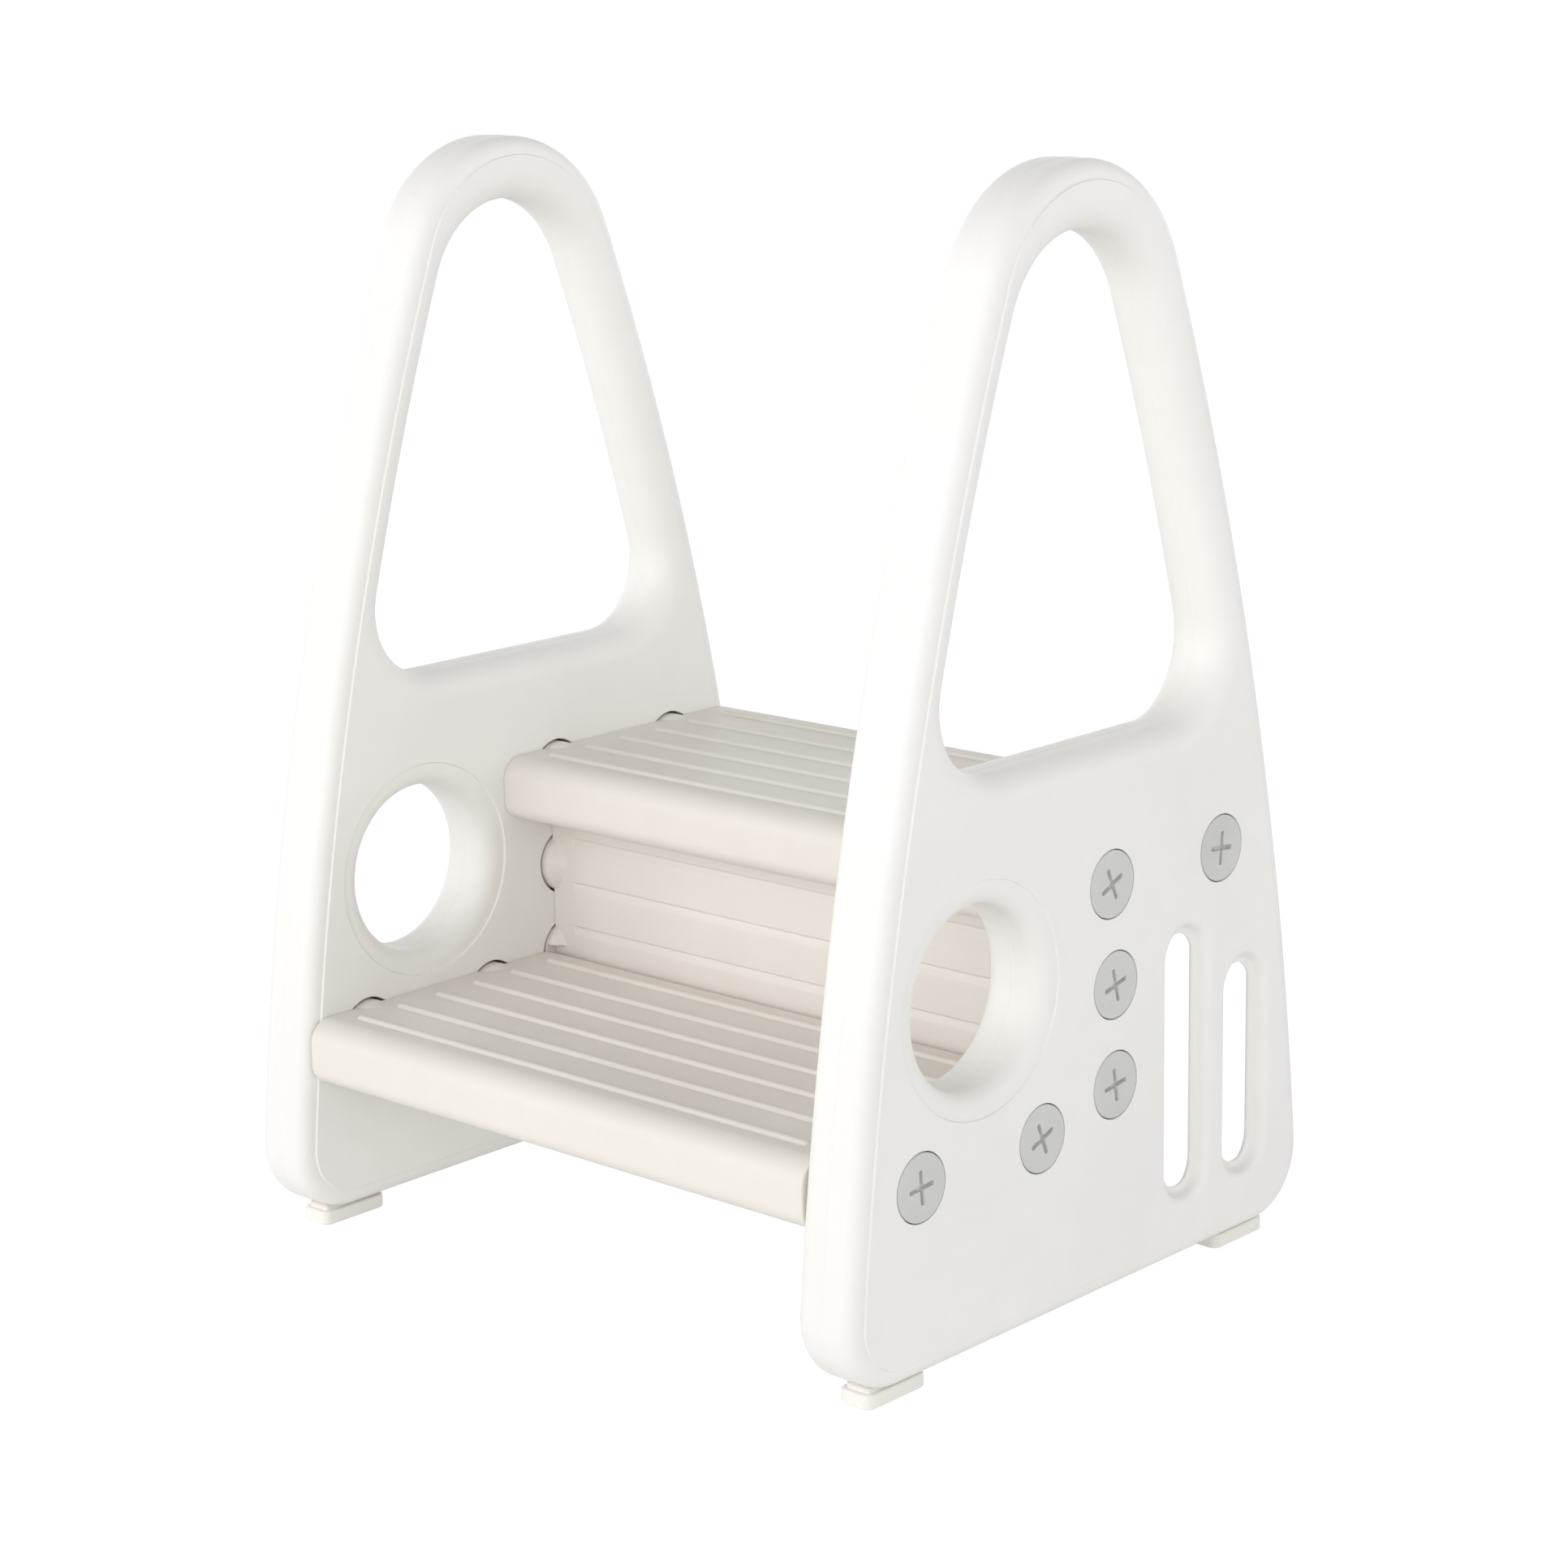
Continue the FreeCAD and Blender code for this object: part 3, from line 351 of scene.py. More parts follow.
def rolled_edge(flat, shoulder_into, roll, drop, direction=1):
    """Flat face, an optional step down to a shoulder, a quarter-round roll to the side, and
    the mould's seam. Distances run into the wall; a hole's run outwards, direction -1."""
    corners = [(flat, OUTER, 0)]
    if drop:
        corners += [(shoulder_into + 0.9, OUTER, 0.35), (shoulder_into + 0.4, OUTER - drop, 0.35)]
    corners += [(0, OUTER - drop - (0.2 if drop else 0), roll), (0, SEAM_WIDTH, 0.15),
                (-SEAM_HEIGHT, 0.12, 0)]
    return both_halves(section(*corners, steps=8, margin=0.12)) * [direction, 1]


OPENING_FLAT, PORTHOLE_FLAT = 14.95, 14.8
outline_edge = rolled_edge(OUTLINE_FLAT, 9.5, 9.0, 1.1)
opening_edge = rolled_edge(OPENING_FLAT, 0, 14.7, 0, -1)
porthole_edge = rolled_edge(PORTHOLE_FLAT, 12.8, 9.4, 1.2, -1)
print("sections", len(outline_edge), len(opening_edge), len(porthole_edge))

# %% [markdown]
# ## Slots, pan and screw holes
#
# Two tall slots let light through the panel. Each is a soft dish in the outer face with a
# thin clean edge at its floor, and it opens wide again behind that edge. The inner face is
# sunk to a pan there, open to the rear, so that nothing thick shows through the slots. The
# pan is a sink of the finished inner face by a depth that depends on how far a point is
# inside the pan's outline. The face has a crease wherever that depth bends, and the panel's
# outline has a point where each crease ends.

# %% Slots
SLOT_HOLE, SLOT_WALL = 12.5, 16.0       # radii of the cut and of the dish's wall
WEB_OUTER, WEB_INNER, PAN_FLOOR = OUTER - 7.0, OUTER - 8.2, OUTER - 13.0
SLOT_FOOT = 46.0
slot_edge = section((-11.5, OUTER, 0), (-6.6, OUTER, 6.0), (-2.9, WEB_OUTER, 3.6), (0, WEB_OUTER, 0.3),
                    (0, WEB_INNER, 0.3), (-6.3, PAN_FLOOR, 2.0), (-7.6, PAN_FLOOR, 0), steps=6, margin=0.15)
SLOTS = [((middle, SLOT_FOOT + SLOT_WALL), (middle, top - SLOT_WALL))
         for middle, top in ((82.0, 195.0), (135.0, 167.0))]

# %% The pan
PAN_FRONT, PAN_LOW, PAN_TOP, PAN_CORNER = 54.0, 26.0, 206.0, 14.0
RIM_KEPT = 9.0                          # height above which the panel's rear rim isn't sunk
pan_edge = section((-2.8, INNER, 0), (0, INNER, 1.6), (1.4, PAN_FLOOR, 4.0), (6.2, PAN_FLOOR, 0), margin=1.0)


def pan_height(flat):
    """Height of the inner face at (y, z). The distance inside the pan is the corner radius
    less the distance from the pan drawn in by that radius; pan_edge gives the height there."""
    forward = PAN_FRONT + PAN_CORNER - flat[..., 0]
    beside = np.abs(flat[..., 1] - (PAN_LOW + PAN_TOP) / 2) - (PAN_TOP - PAN_LOW) / 2 + PAN_CORNER
    past_sides = np.hypot(np.maximum(forward, 0), np.maximum(beside, 0))
    away = past_sides + np.minimum(np.maximum(forward, beside), 0)
    return np.interp(PAN_CORNER - away, *pan_edge.T)


def sunk(points, height):
    """Heights between INNER and RIM_KEPT pressed evenly together, so that INNER comes to the
    height that is given."""
    x = points[..., 0]
    pressed = height + (x - INNER) * (RIM_KEPT - height) / (RIM_KEPT - INNER)
    return np.concatenate([np.where(x < RIM_KEPT, pressed, x)[..., None], points[..., 1:]], -1)


def angles_at(centre, radius, heights):
    """Angles at which the arc's flat edge, OUTLINE_FLAT inside it, is at the given heights."""
    return np.arcsin((heights - centre[1]) / (radius - OUTLINE_FLAT))


outline = arch(corner_centre, CORNER, FLANK_CENTRE, FLANK, crown_centre, CROWN,
               corner_through=angles_at(corner_centre, CORNER, PAN_LOW + pan_edge[:, 0]),
               flank_through=angles_at(FLANK_CENTRE, FLANK, PAN_TOP - pan_edge[:, 0]))
outline_flat = outline[0] - outline[1] * OUTLINE_FLAT
print("outline", len(outline[0]), "points")


def pan_crease(into):
    """One line along the pan's top, front and foot, from the panel's rear rim and back to it."""
    top, low, radius = PAN_TOP - into, PAN_LOW + into, PAN_CORNER - into
    rear = outline_flat[outline_flat[:, 0] > PAN_FRONT]
    start, end = [rear[np.argmin(np.abs(rear[:, 1] - height))] for height in (top, low)]
    inner = PAN_FRONT + PAN_CORNER
    run = chain(
        line(start, (inner, top), 6.0),
        arc((inner, PAN_TOP - PAN_CORNER), radius, math.pi / 2, math.pi),
        line((PAN_FRONT + into, PAN_TOP - PAN_CORNER), (PAN_FRONT + into, PAN_LOW + PAN_CORNER), 6.0),
        arc((inner, PAN_LOW + PAN_CORNER), radius, math.pi, 1.5 * math.pi),
        line((inner, low), end, 6.0))
    return np.concatenate([run[0], [end]])


# %% Screw places
SCREW_PLACES = ["lower_tread_front", "lower_tread_rear", "riser_lower", "riser_upper",
                "upper_tread_front", "upper_tread_rear"]


def screw_centre(place):
    """(y, z) of a screw's axis, which is the middle of its node's box."""
    low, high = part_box(f"right_{place}_screw")
    return ((low.y + high.y) / 2 / MM, (low.z + high.z) / 2 / MM)


centres = {place: screw_centre(place) for place in SCREW_PLACES}
WEB_HOLE, COUNTERBORE, SOCKET, BOSS = 9.5, 18.6, 19.5, 18.0
SEAT, SOCKET_FLOOR = OUTER - 6.0, OUTER - 14.0
bore_edge = section(
    (WEB_HOLE - COUNTERBORE - 2.2, OUTER, 0), (WEB_HOLE - COUNTERBORE, OUTER, 0.6),
    (WEB_HOLE - COUNTERBORE, SEAT, 0.4), (0, SEAT, 0.4), (0, SOCKET_FLOOR, 0.4),
    (WEB_HOLE - SOCKET, SOCKET_FLOOR, 1.0), (WEB_HOLE - SOCKET, INNER, 0.7),
    (WEB_HOLE - SOCKET - 2.2, INNER, 0), steps=4)
print({place: [round(v, 1) for v in centre] for place, centre in centres.items()})

# %% [markdown]
# The faces themselves are filled between the rims of all these bands. A cooling face never
# stays flat: it swells and sinks by a fraction of a millimetre, which is what the light
# catches on a real moulding. One slow wave, a product of sines in height and depth, is
# applied to the whole panel, so that edges and faces move together.

# %% Panels
PORTHOLE_HEIGHT, PORTHOLE_RADIUS = 196.0, 48.0


def panel_parts():
    """All the bands and faces of one panel, with X measured from its middle."""
    porthole_y = (centres["lower_tread_front"][0] + centres["lower_tread_rear"][0]) / 2
    porthole = circle((porthole_y, PORTHOLE_HEIGHT), PORTHOLE_RADIUS)
    slots = [obround(low, high, SLOT_HOLE) for low, high in SLOTS]
    bores = [circle(centre, WEB_HOLE, spacing=1.3) for centre in centres.values()]
    rim = sunk(band(outline, outline_edge), pan_height(outline_flat)[:, None])
    parts = [(rim, grid_faces(*rim.shape[:2]))]
    edges = [(opening, opening_edge), (porthole, porthole_edge)]
    edges += [(slot, slot_edge) for slot in slots] + [(bore, bore_edge) for bore in bores]
    parts += [(band(loop, profile), grid_faces(len(loop[0]), len(profile))) for loop, profile in edges]
    through = [outline_flat, inset(opening, -OPENING_FLAT), inset(porthole, -PORTHOLE_FLAT)]
    outer_rings, inner_rings = [[inset(slot, slot_edge[end, 0]) for slot in slots]
                                + [inset(bore, bore_edge[end, 0]) for bore in bores] for end in (0, -1)]
    parts.append(fill(through + outer_rings, OUTER))
    creases = [pan_crease(into) for into in pan_edge[:, 0]]
    face, triangles = fill(through + inner_rings, INNER, creases=creases)
    parts.append((sunk(face, pan_height(face[:, 1:])), triangles))
    return parts


def panel_warp(side):
    """x = side (middle + x (1 + swell w)), with w = sin(y/61) sin(z/83) + sin(y/37 - z/49) / 2."""
    def warp(points):
        x, y, z = points.T
        wave = np.sin(y / 61 + 0.7) * np.sin(z / 83 + 0.4) + 0.5 * np.sin(y / 37 - z / 49)
        return np.stack([side * (MIDDLE_X + x * (1 + 0.006 * wave)), y, z], 1)
    return warp


parts = panel_parts()
panels = {name: make_piece(f"{name}_panel_shell", parts, panel_warp(side))
          for name, side in (("right", 1), ("left", -1))}
for name, piece in panels.items():
    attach(piece, "root")
    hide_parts(f"{name}_side_panel")

# %% [markdown]
# ## The boards
#
# A tread is a flat hollow box with a fat nose and six grip beads. The riser is a thinner
# board with four wedge-shaped grooves, sharp at their upper edge. On both, the round bosses
# that enter the panels swell out of the board near its ends. Beads, grooves and bosses are
# all small changes of height of one skin, so each board is one grid with a relief added to
# it. Booleans would give the same beads, but with hard creases where the mould has none.

# %% Board skins
LOWER = [np.array(c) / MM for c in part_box("lower_tread")]
UPPER = [np.array(c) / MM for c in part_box("upper_tread")]
RISER = [np.array(c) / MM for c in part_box("riser")]
HALF_SPAN = MIDDLE_X - HALF_THICK            # the boards end at the panels' inner faces
BEAD_HEIGHT, BEAD_HALF, BEAD_END, FURROW = 1.8, 2.6, 15.3, 0.35
BEADS, BEAD_FIRST, BEAD_PITCH = 6, 23.0, 29.2
TREAD_THICK, BOSS_REACH = 36.5, 25.0
END_ROUND, END_INSET = 1.0, 2.4


def stations():
    """Places along X: every 13 mm in the plain middle, every 0.7 mm near the ends."""
    middle = np.arange(0, HALF_SPAN - 28, 13.0)
    near = np.arange(HALF_SPAN - 26, HALF_SPAN - 1.6, 0.7)
    half = np.concatenate([middle, near])
    return np.concatenate([-half[:0:-1], half])


def board_profile():
    """(into, x) from one end's face, over its rounded edge, along the board to the other."""
    end = section((END_INSET, HALF_SPAN, 0), (0, HALF_SPAN, END_ROUND), (0, HALF_SPAN - 1.5, 0),
                  steps=4, margin=0.1)
    along = np.stack([np.zeros(len(stations())), stations()], 1)
    return np.concatenate([end * [1, -1], along, end[::-1]])


def board_loop(front, back, low, high, radii, fine=0.6):
    """Rounded box seen from the end: underside, back, top and front, each a straight line."""
    front_low, back_low, back_high, front_high = radii
    return chain(
        line((front + front_low, low), (back - back_low, low), 6.0),
        arc((back - back_low, low + back_low), back_low, -math.pi / 2, 0, 0.8),
        line((back, low + back_low), (back, high - back_high), fine),
        arc((back - back_high, high - back_high), back_high, 0, math.pi / 2, 0.8),
        line((back - back_high, high), (front + front_high, high), fine),
        arc((front + front_high, high - front_high), front_high, math.pi / 2, math.pi, 0.8),
        line((front, high - front_high), (front, low + front_low), fine),
        arc((front + front_low, low + front_low), front_low, math.pi, 1.5 * math.pi, 0.8))


def smooth(share):
    """3 t^2 - 2 t^3, with t held between 0 and 1."""
    share = np.clip(share, 0, 1)
    return share * share * (3 - 2 * share)


def boss_radius(x, plain, reach):
    """A boss's radius: BOSS at the board's end, falling smoothly to plain over a reach."""
    return plain + (BOSS - plain) * smooth((np.abs(x) - (HALF_SPAN - reach)) / (reach - 2))


def boss_parts(places):
    """The bosses' plain cylinders inside the sockets, closed at both ends."""
    tip = HALF_SPAN + BOSS_REACH
    profile = section((5, HALF_SPAN - 0.3, 0), (0, HALF_SPAN - 0.3, 0.2), (0, tip, 1.5), (5, tip, 0), steps=4)
    parts = []
    for place in places:
        loop = circle(place, BOSS, spacing=1.6)
        for side in (1, -1):
            shape = profile * [1, side]
            parts.append((band(loop, shape), grid_faces(len(loop[0]), len(shape))))
            parts += [fill([inset(loop, shape[k, 0])], shape[k, 1]) for k in (0, -1)]
    return parts


def board_parts(loop, relief, places):
    """A board's skin with its relief, its two end faces and its bosses."""
    profile = board_profile()
    skin = band(loop, profile)
    skin = relief(skin, np.broadcast_to(loop[1][:, None], skin.shape[:2] + (2,)))
    parts = [(skin, grid_faces(len(loop[0]), len(profile)))]
    for column, x in ((0, -HALF_SPAN), (-1, HALF_SPAN)):
        parts.append(fill([skin[:, column, 1:]], x))
    return parts + boss_parts(places)


# %% [markdown]
# A grip bead is a rounded ridge. Its height falls with the distance d from the bead's centre
# line as the square root of (1 - d squared), so the ridge is full in the middle and steep at
# its foot, and its ends are round because the line itself has ends.

# %% Treads
def tread_relief(front, top, places):
    """The relief of one tread, from its front edge, its top's height and its bosses' places."""
    def relief(skin, normals):
        """Adds beads and bosses to the top, a fine furrow along each bead's front foot, and a
        slight belly to the nose."""
        x, y, z = np.moveaxis(skin, -1, 0).copy()
        on_top = normals[..., 1] > 0.999
        lift = np.zeros_like(x)
        for k in range(BEADS):
            past = np.maximum(np.abs(x) - (HALF_SPAN - BEAD_END - BEAD_HALF), 0)
            across = y - (front + BEAD_FIRST + BEAD_PITCH * k)
            away = np.hypot(past, across) / BEAD_HALF
            furrow = np.hypot(past, across + BEAD_HALF + 0.5) / 0.9
            lift = lift - FURROW * np.clip(1 - furrow ** 2, 0, None)
            lift = np.where(away < 1, BEAD_HEIGHT * np.sqrt(np.clip(1 - away ** 2, 0, None)), lift)
        for across, up in places:
            radius = boss_radius(x, top - up - 0.5, 12.0)
            bulge = up + np.sqrt(np.clip(radius ** 2 - (y - across) ** 2, 0, None)) - top
            lift = np.maximum(lift, bulge)
        end_fade = smooth((HALF_SPAN - np.abs(x)) / 0.3)
        z = z + np.where(on_top, lift * end_fade, 0)
        belly = np.clip(1 - ((z - top + 18.0) / 18.0) ** 2, 0, None)
        y = y - np.where(normals[..., 0] < -0.01, 0.5 * belly, 0)
        slow = 0.15 * np.sin(x / 70 + y / 40) * np.clip(1 - (x / HALF_SPAN) ** 2, 0, None)
        return np.stack([x, y, z + slow], -1)
    return relief


treads = {}
for name, box, rows in (("lower_tread", LOWER, SCREW_PLACES[:2]), ("upper_tread", UPPER, SCREW_PLACES[4:])):
    front, back, low = box[0][1], box[1][1], box[0][2]
    top = low + TREAD_THICK
    places = [centres[place] for place in rows]
    loop = board_loop(front, back, low, top, (10.0, 7.0, 7.0, 13.0))
    treads[name] = make_piece(f"{name}_shell", board_parts(loop, tread_relief(front, top, places), places))
    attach(treads[name], "root")
    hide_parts(name)

# %% [markdown]
# The riser's grooves are wedges: the mould bites in sharply at the upper edge and runs out
# over a few millimetres below. That gives the dark line with the soft light band under it.

# %% Riser
RISER_THICK = 20.0
GROOVES, GROOVE_FIRST, GROOVE_PITCH, GROOVE_HALF = 4, 24.0, 26.8, 2.3
GROOVE_DEPTH, GROOVE_BITE, GROOVE_RUN_OUT = 2.0, 0.6, 5.4
riser_places = [centres["riser_lower"], centres["riser_upper"]]
riser_middle = riser_places[0][0]


def riser_relief(skin, normals):
    """Cuts the grooves into the front and swells both faces round the bosses."""
    x, y, z = np.moveaxis(skin, -1, 0).copy()
    on_front, on_back = normals[..., 0] < -0.999, normals[..., 0] > 0.999
    depth = np.zeros_like(x)
    ends = smooth((HALF_SPAN - 17.0 - np.abs(x)) / 1.0)
    for k in range(GROOVES):
        below = RISER[0][2] + GROOVE_FIRST + GROOVE_PITCH * k + GROOVE_HALF - z
        run_out = np.clip(1 - below / GROOVE_RUN_OUT, 0, None)
        wedge = np.where(below > 0, np.minimum(below / GROOVE_BITE, 1) * run_out, 0)
        depth = np.maximum(depth, GROOVE_DEPTH * wedge * ends)
    bulge = np.zeros_like(x)
    for across, up in riser_places:
        radius = boss_radius(x, RISER_THICK / 2, 13.0)
        bulge = np.maximum(bulge, np.sqrt(np.clip(radius ** 2 - (z - up) ** 2, 0, None)) - RISER_THICK / 2)
    clear_of_tread = smooth((z - LOWER[1][2]) / 1.5)
    y = y + np.where(on_front, depth - bulge * clear_of_tread, 0) + np.where(on_back, bulge, 0)
    return np.stack([x, y, z], -1)


riser_loop = board_loop(riser_middle - RISER_THICK / 2, riser_middle + RISER_THICK / 2,
                        RISER[0][2], RISER[1][2], (4.0, 4.0, 4.0, 4.0))
riser = make_piece("riser_shell", board_parts(riser_loop, riser_relief, riser_places))
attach(riser, "root")
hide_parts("riser")

# %% [markdown]
# ## Screws
#
# Each screw is one moulding: a flat head as wide as a large coin, with a cross sunk into it
# for a wide driver, and a thick shank with a coarse thread. The head is made from loops and
# bands again. The shank is a surface of an angle and a place along the axis, whose radius
# swells where the place less the angle's share of the pitch falls on a ridge. That makes a
# true helix, which stacked rings would not.

# %% Screw surfaces
HEAD, CROSS_DEPTH = 18.0, 3.0
CORE, RIDGE, PITCH, THREAD_LENGTH = 7.5, 1.5, 5.5, 22.5
SHANK_END = SOCKET_FLOOR - 1.0 - THREAD_LENGTH


def turned(points, angle):
    """Points of a loop turned about the origin."""
    c, s = math.cos(angle), math.sin(angle)
    return points @ np.array([[c, s], [-s, c]])


def cross_loop(angle, reach=9.3, half=1.3):
    """Outline of the driving cross: four arms with rounded ends and small inner corners."""
    corners = []
    for quarter in range(4):
        for point, radius in (((half, -half), 0.9), ((reach, -half), 1.2), ((reach, half), 1.2)):
            corners.append((*turned(np.array(point, float), quarter * math.pi / 2), radius))
    points, normals = rounded_polygon(corners, spacing=0.45)
    return turned(points, angle), turned(normals, angle)


def moved(loop, centre):
    """The loop with the centre added to its points. Its normals stay."""
    return loop[0] + np.asarray(centre, float), loop[1]


def shank_part(centre):
    """Radius core + ridge times a trapezoid of (x / pitch - angle / 2 pi), over the thread."""
    angle = np.linspace(0, 2 * math.pi, 48, endpoint=False)[:, None]
    x = np.linspace(SHANK_END, SEAT, 110)[None, :]
    phase = np.mod(x / PITCH - angle / (2 * math.pi), 1.0)
    ridge = np.clip((0.31 - np.abs(phase - 0.5)) / 0.165, 0, 1)
    ends = smooth((x - SHANK_END) / 2.5) * smooth((SOCKET_FLOOR - 1.0 - x) / 2.5)
    radius = CORE + RIDGE * ridge * ends
    surface = np.stack([np.broadcast_to(x, radius.shape), centre[0] + radius * np.cos(angle),
                        centre[1] + radius * np.sin(angle)], -1)
    return surface, grid_faces(*radius.shape)


def screw_parts(centre, angle):
    """Head with its driving cross, and threaded shank, with X from the panel's middle."""
    rim = moved(circle((0, 0), HEAD, spacing=1.0), centre)
    head = section((4, OUTER, 0), (0, OUTER, 0.8), (0, SEAT, 0.3), (4, SEAT, 0), steps=4, margin=0.2)
    cross = moved(cross_loop(angle), centre)
    cross_floor = OUTER - CROSS_DEPTH
    cut = section((-0.6, OUTER, 0), (0, OUTER, 0.25), (0.25, cross_floor, 0.3), (0.7, cross_floor, 0),
                  steps=3, margin=0.08)
    shank = shank_part(centre)
    return [
        (band(rim, head), grid_faces(len(rim[0]), len(head))),
        (band(cross, cut), grid_faces(len(cross[0]), len(cut))),
        fill([inset(rim, head[0, 0]), inset(cross, cut[0, 0])], OUTER, pitch=2.5),
        fill([inset(cross, cut[-1, 0])], cut[-1, 1], pitch=2.5),
        fill([inset(rim, head[-1, 0]), shank[0][:, -1, 1:]], SEAT, pitch=4.0),
        shank,
        fill([shank[0][:, 0, 1:]], SHANK_END, pitch=4.0),
    ]


# %% Screws
TURNS = {"lower_tread_front": 4, "lower_tread_rear": 22, "riser_lower": 8, "riser_upper": 14,
         "upper_tread_front": 24, "upper_tread_rear": -6}
screws = []
for side_name, side in (("right", 1), ("left", -1)):
    for place, centre in centres.items():
        def to_side(points, side=side):
            """x = side (middle + x), so the left side is the right one's mirror image."""
            return np.stack([side * (MIDDLE_X + points[:, 0]), points[:, 1], points[:, 2]], 1)
        node = f"{side_name}_{place}_screw"
        piece = make_piece(f"{node}_moulding", screw_parts(centre, math.radians(TURNS[place])), to_side)
        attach(piece, "root")
        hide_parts(node)
        screws.append(piece)

# %% [markdown]
# ## Feet
#
# Four soft rubber pads keep the stool from sliding. Each is a rounded block on a narrower
# neck. The step between block and neck leaves a dark line under the panel.

# %% Feet
feet = []
for side_name in ("left", "right"):
    for end in ("front", "rear"):
        node = f"{side_name}_{end}_foot"
        low, high = [np.array(corner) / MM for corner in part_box(node)]
        middle = (low + high) / 2
        half_x, half_y = (high[0] - low[0]) / 2, (high[1] - low[1]) / 2
        loop = moved(rounded_polygon([(-half_x, -half_y, 5), (half_x, -half_y, 5), (half_x, half_y, 5),
                                      (-half_x, half_y, 5)], spacing=0.8), middle[:2])
        profile = section((4.4, 0.5, 0), (3.6, 0.5, 0.3), (3.2, 0, 0.3), (0, 0, 1.3), (0, 8.0, 1.2),
                          (3.0, 8.0, 0.4), (3.0, BOTTOM, 0), steps=4, margin=0.08)
        parts = [(band(loop, profile, across_z), grid_faces(len(loop[0]), len(profile)))]
        parts += [fill([inset(loop, profile[k, 0])], profile[k, 1], across_z) for k in (0, -1)]
        piece = make_piece(f"{node}_pad", parts)
        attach(piece, "root")
        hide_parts(node)
        feet.append(piece)

# %% [markdown]
# ## Finishes
#
# Everything here is polyethylene or rubber with a satin skin. Up close such a skin isn't one
# colour and not smooth: the resin is a little cloudy, the mould was sand-blasted and leaves a
# fine grain, long soft waves run through the faces, and hands and wash water leave patches
# that shine a little more. Three shader groups give these effects, each built once and used
# by every finish with its own values. Painting textures would do it too, but they need UV
# maps and stop at their own resolution; noise on Object coordinates is sharp at any distance.

# %% Node helpers
def linear(red, green, blue):
    """A screen colour, 0 to 255, as linear light: ((c + 0.055) / 1.055) to the power 2.4."""
    values = np.array([red, green, blue]) / 255
    return (*np.where(values < 0.04045, values / 12.92, ((values + 0.055) / 1.055) ** 2.4), 1.0)


def add_node(tree, kind, links=None, **settings):
    """A shader node with its settings, and its inputs linked or set by name or number."""
    node = tree.nodes.new("ShaderNode" + kind)
    for key, value in settings.items():
        setattr(node, key, value)
    for key, value in (links or {}).items():
        if isinstance(value, bpy.types.NodeSocket):
            tree.links.new(value, node.inputs[key])
        else:
            node.inputs[key].default_value = value
    return node


def math_node(tree, operation, first, second):
    """The output of a Math node that works on first and second."""
    return add_node(tree, "Math", {0: first, 1: second}, operation=operation).outputs[0]


def noise_value(tree, vector, scale, detail, distortion=0.0):
    """The value, 0 to 1, of a noise texture at the vector."""
    links = {"Vector": vector, "Scale": scale, "Detail": detail, "Distortion": distortion}
    return add_node(tree, "TexNoise", links).outputs["Fac"]


def mix_colours(tree, share, first, second):
    """first (1 - share) + second share. A Mix node's colour sockets are its inputs 6 and 7."""
    return add_node(tree, "Mix", {0: share, 6: first, 7: second}, data_type="RGBA").outputs[2]


def new_group(name, inputs, outputs):
    """A shader node group with named sockets; inputs are (name, kind, value)."""
    group = bpy.data.node_groups.new(name, "ShaderNodeTree")
    for label, kind, value in inputs:
        socket = group.interface.new_socket(label, in_out="INPUT", socket_type="NodeSocket" + kind)
        if value is not None:
            socket.default_value = value
    for label, kind in outputs:
        group.interface.new_socket(label, in_out="OUTPUT", socket_type="NodeSocket" + kind)
    given, result = group.nodes.new("NodeGroupInput"), group.nodes.new("NodeGroupOutput")
    return group, given.outputs, result.inputs


# %% [markdown]
# The first group is the resin's colour. A slow noise mixes the resin with a slightly greyer
# shade of it, and a finer one adds small clouds. It puts out the colour and the cloud.

# %% Resin clouds
def build_resin_clouds():
    """Colour = resin mixed with shade by amount times cloud; cloud = slow + 0.35 fine noise."""
    group, given, result = new_group(
        "resin_clouds",
        [("Vector", "Vector", None), ("Resin", "Color", (0.8, 0.8, 0.8, 1)),
         ("Shade", "Color", (0.7, 0.7, 0.7, 1)), ("Amount", "Float", 0.5), ("Scale", "Float", 8.0)],
        [("Color", "Color"), ("Cloud", "Float")])
    slow = noise_value(group, given["Vector"], given["Scale"], 3.0)
    finer = math_node(group, "MULTIPLY", given["Scale"], 7.0)
    fine = noise_value(group, given["Vector"], finer, 2.0)
    weighted = math_node(group, "MULTIPLY", fine, 0.35)
    both = math_node(group, "ADD", slow, weighted)
    cloud = add_node(group, "MapRange", {"Value": both, "From Min": 0.5, "From Max": 0.85}).outputs["Result"]
    share = math_node(group, "MULTIPLY", cloud, given["Amount"])
    group.links.new(mix_colours(group, share, given["Resin"], given["Shade"]), result["Color"])
    group.links.new(cloud, result["Cloud"])
    return group


# %% [markdown]
# The second is the skin that the mould leaves: the grain of the blasted steel, and the slow
# waves of a face that has cooled. Both are heights for a Bump node. The waves are too flat
# for the mesh to need them, but they break up a reflection just as the real ones do.

# %% Mould skin
def build_mould_skin():
    """Height = grain noise times grain + wave noise times wave."""
    group, given, result = new_group(
        "mould_skin",
        [("Vector", "Vector", None), ("Grain Scale", "Float", 1400.0), ("Grain", "Float", 0.03),
         ("Wave Scale", "Float", 18.0), ("Wave", "Float", 1.0)],
        [("Height", "Float")])
    grain = noise_value(group, given["Vector"], given["Grain Scale"], 1.0)
    wave = noise_value(group, given["Vector"], given["Wave Scale"], 1.0)
    small = math_node(group, "MULTIPLY", grain, given["Grain"])
    large = math_node(group, "MULTIPLY", wave, given["Wave"])
    group.links.new(math_node(group, "ADD", small, large), result["Height"])
    return group


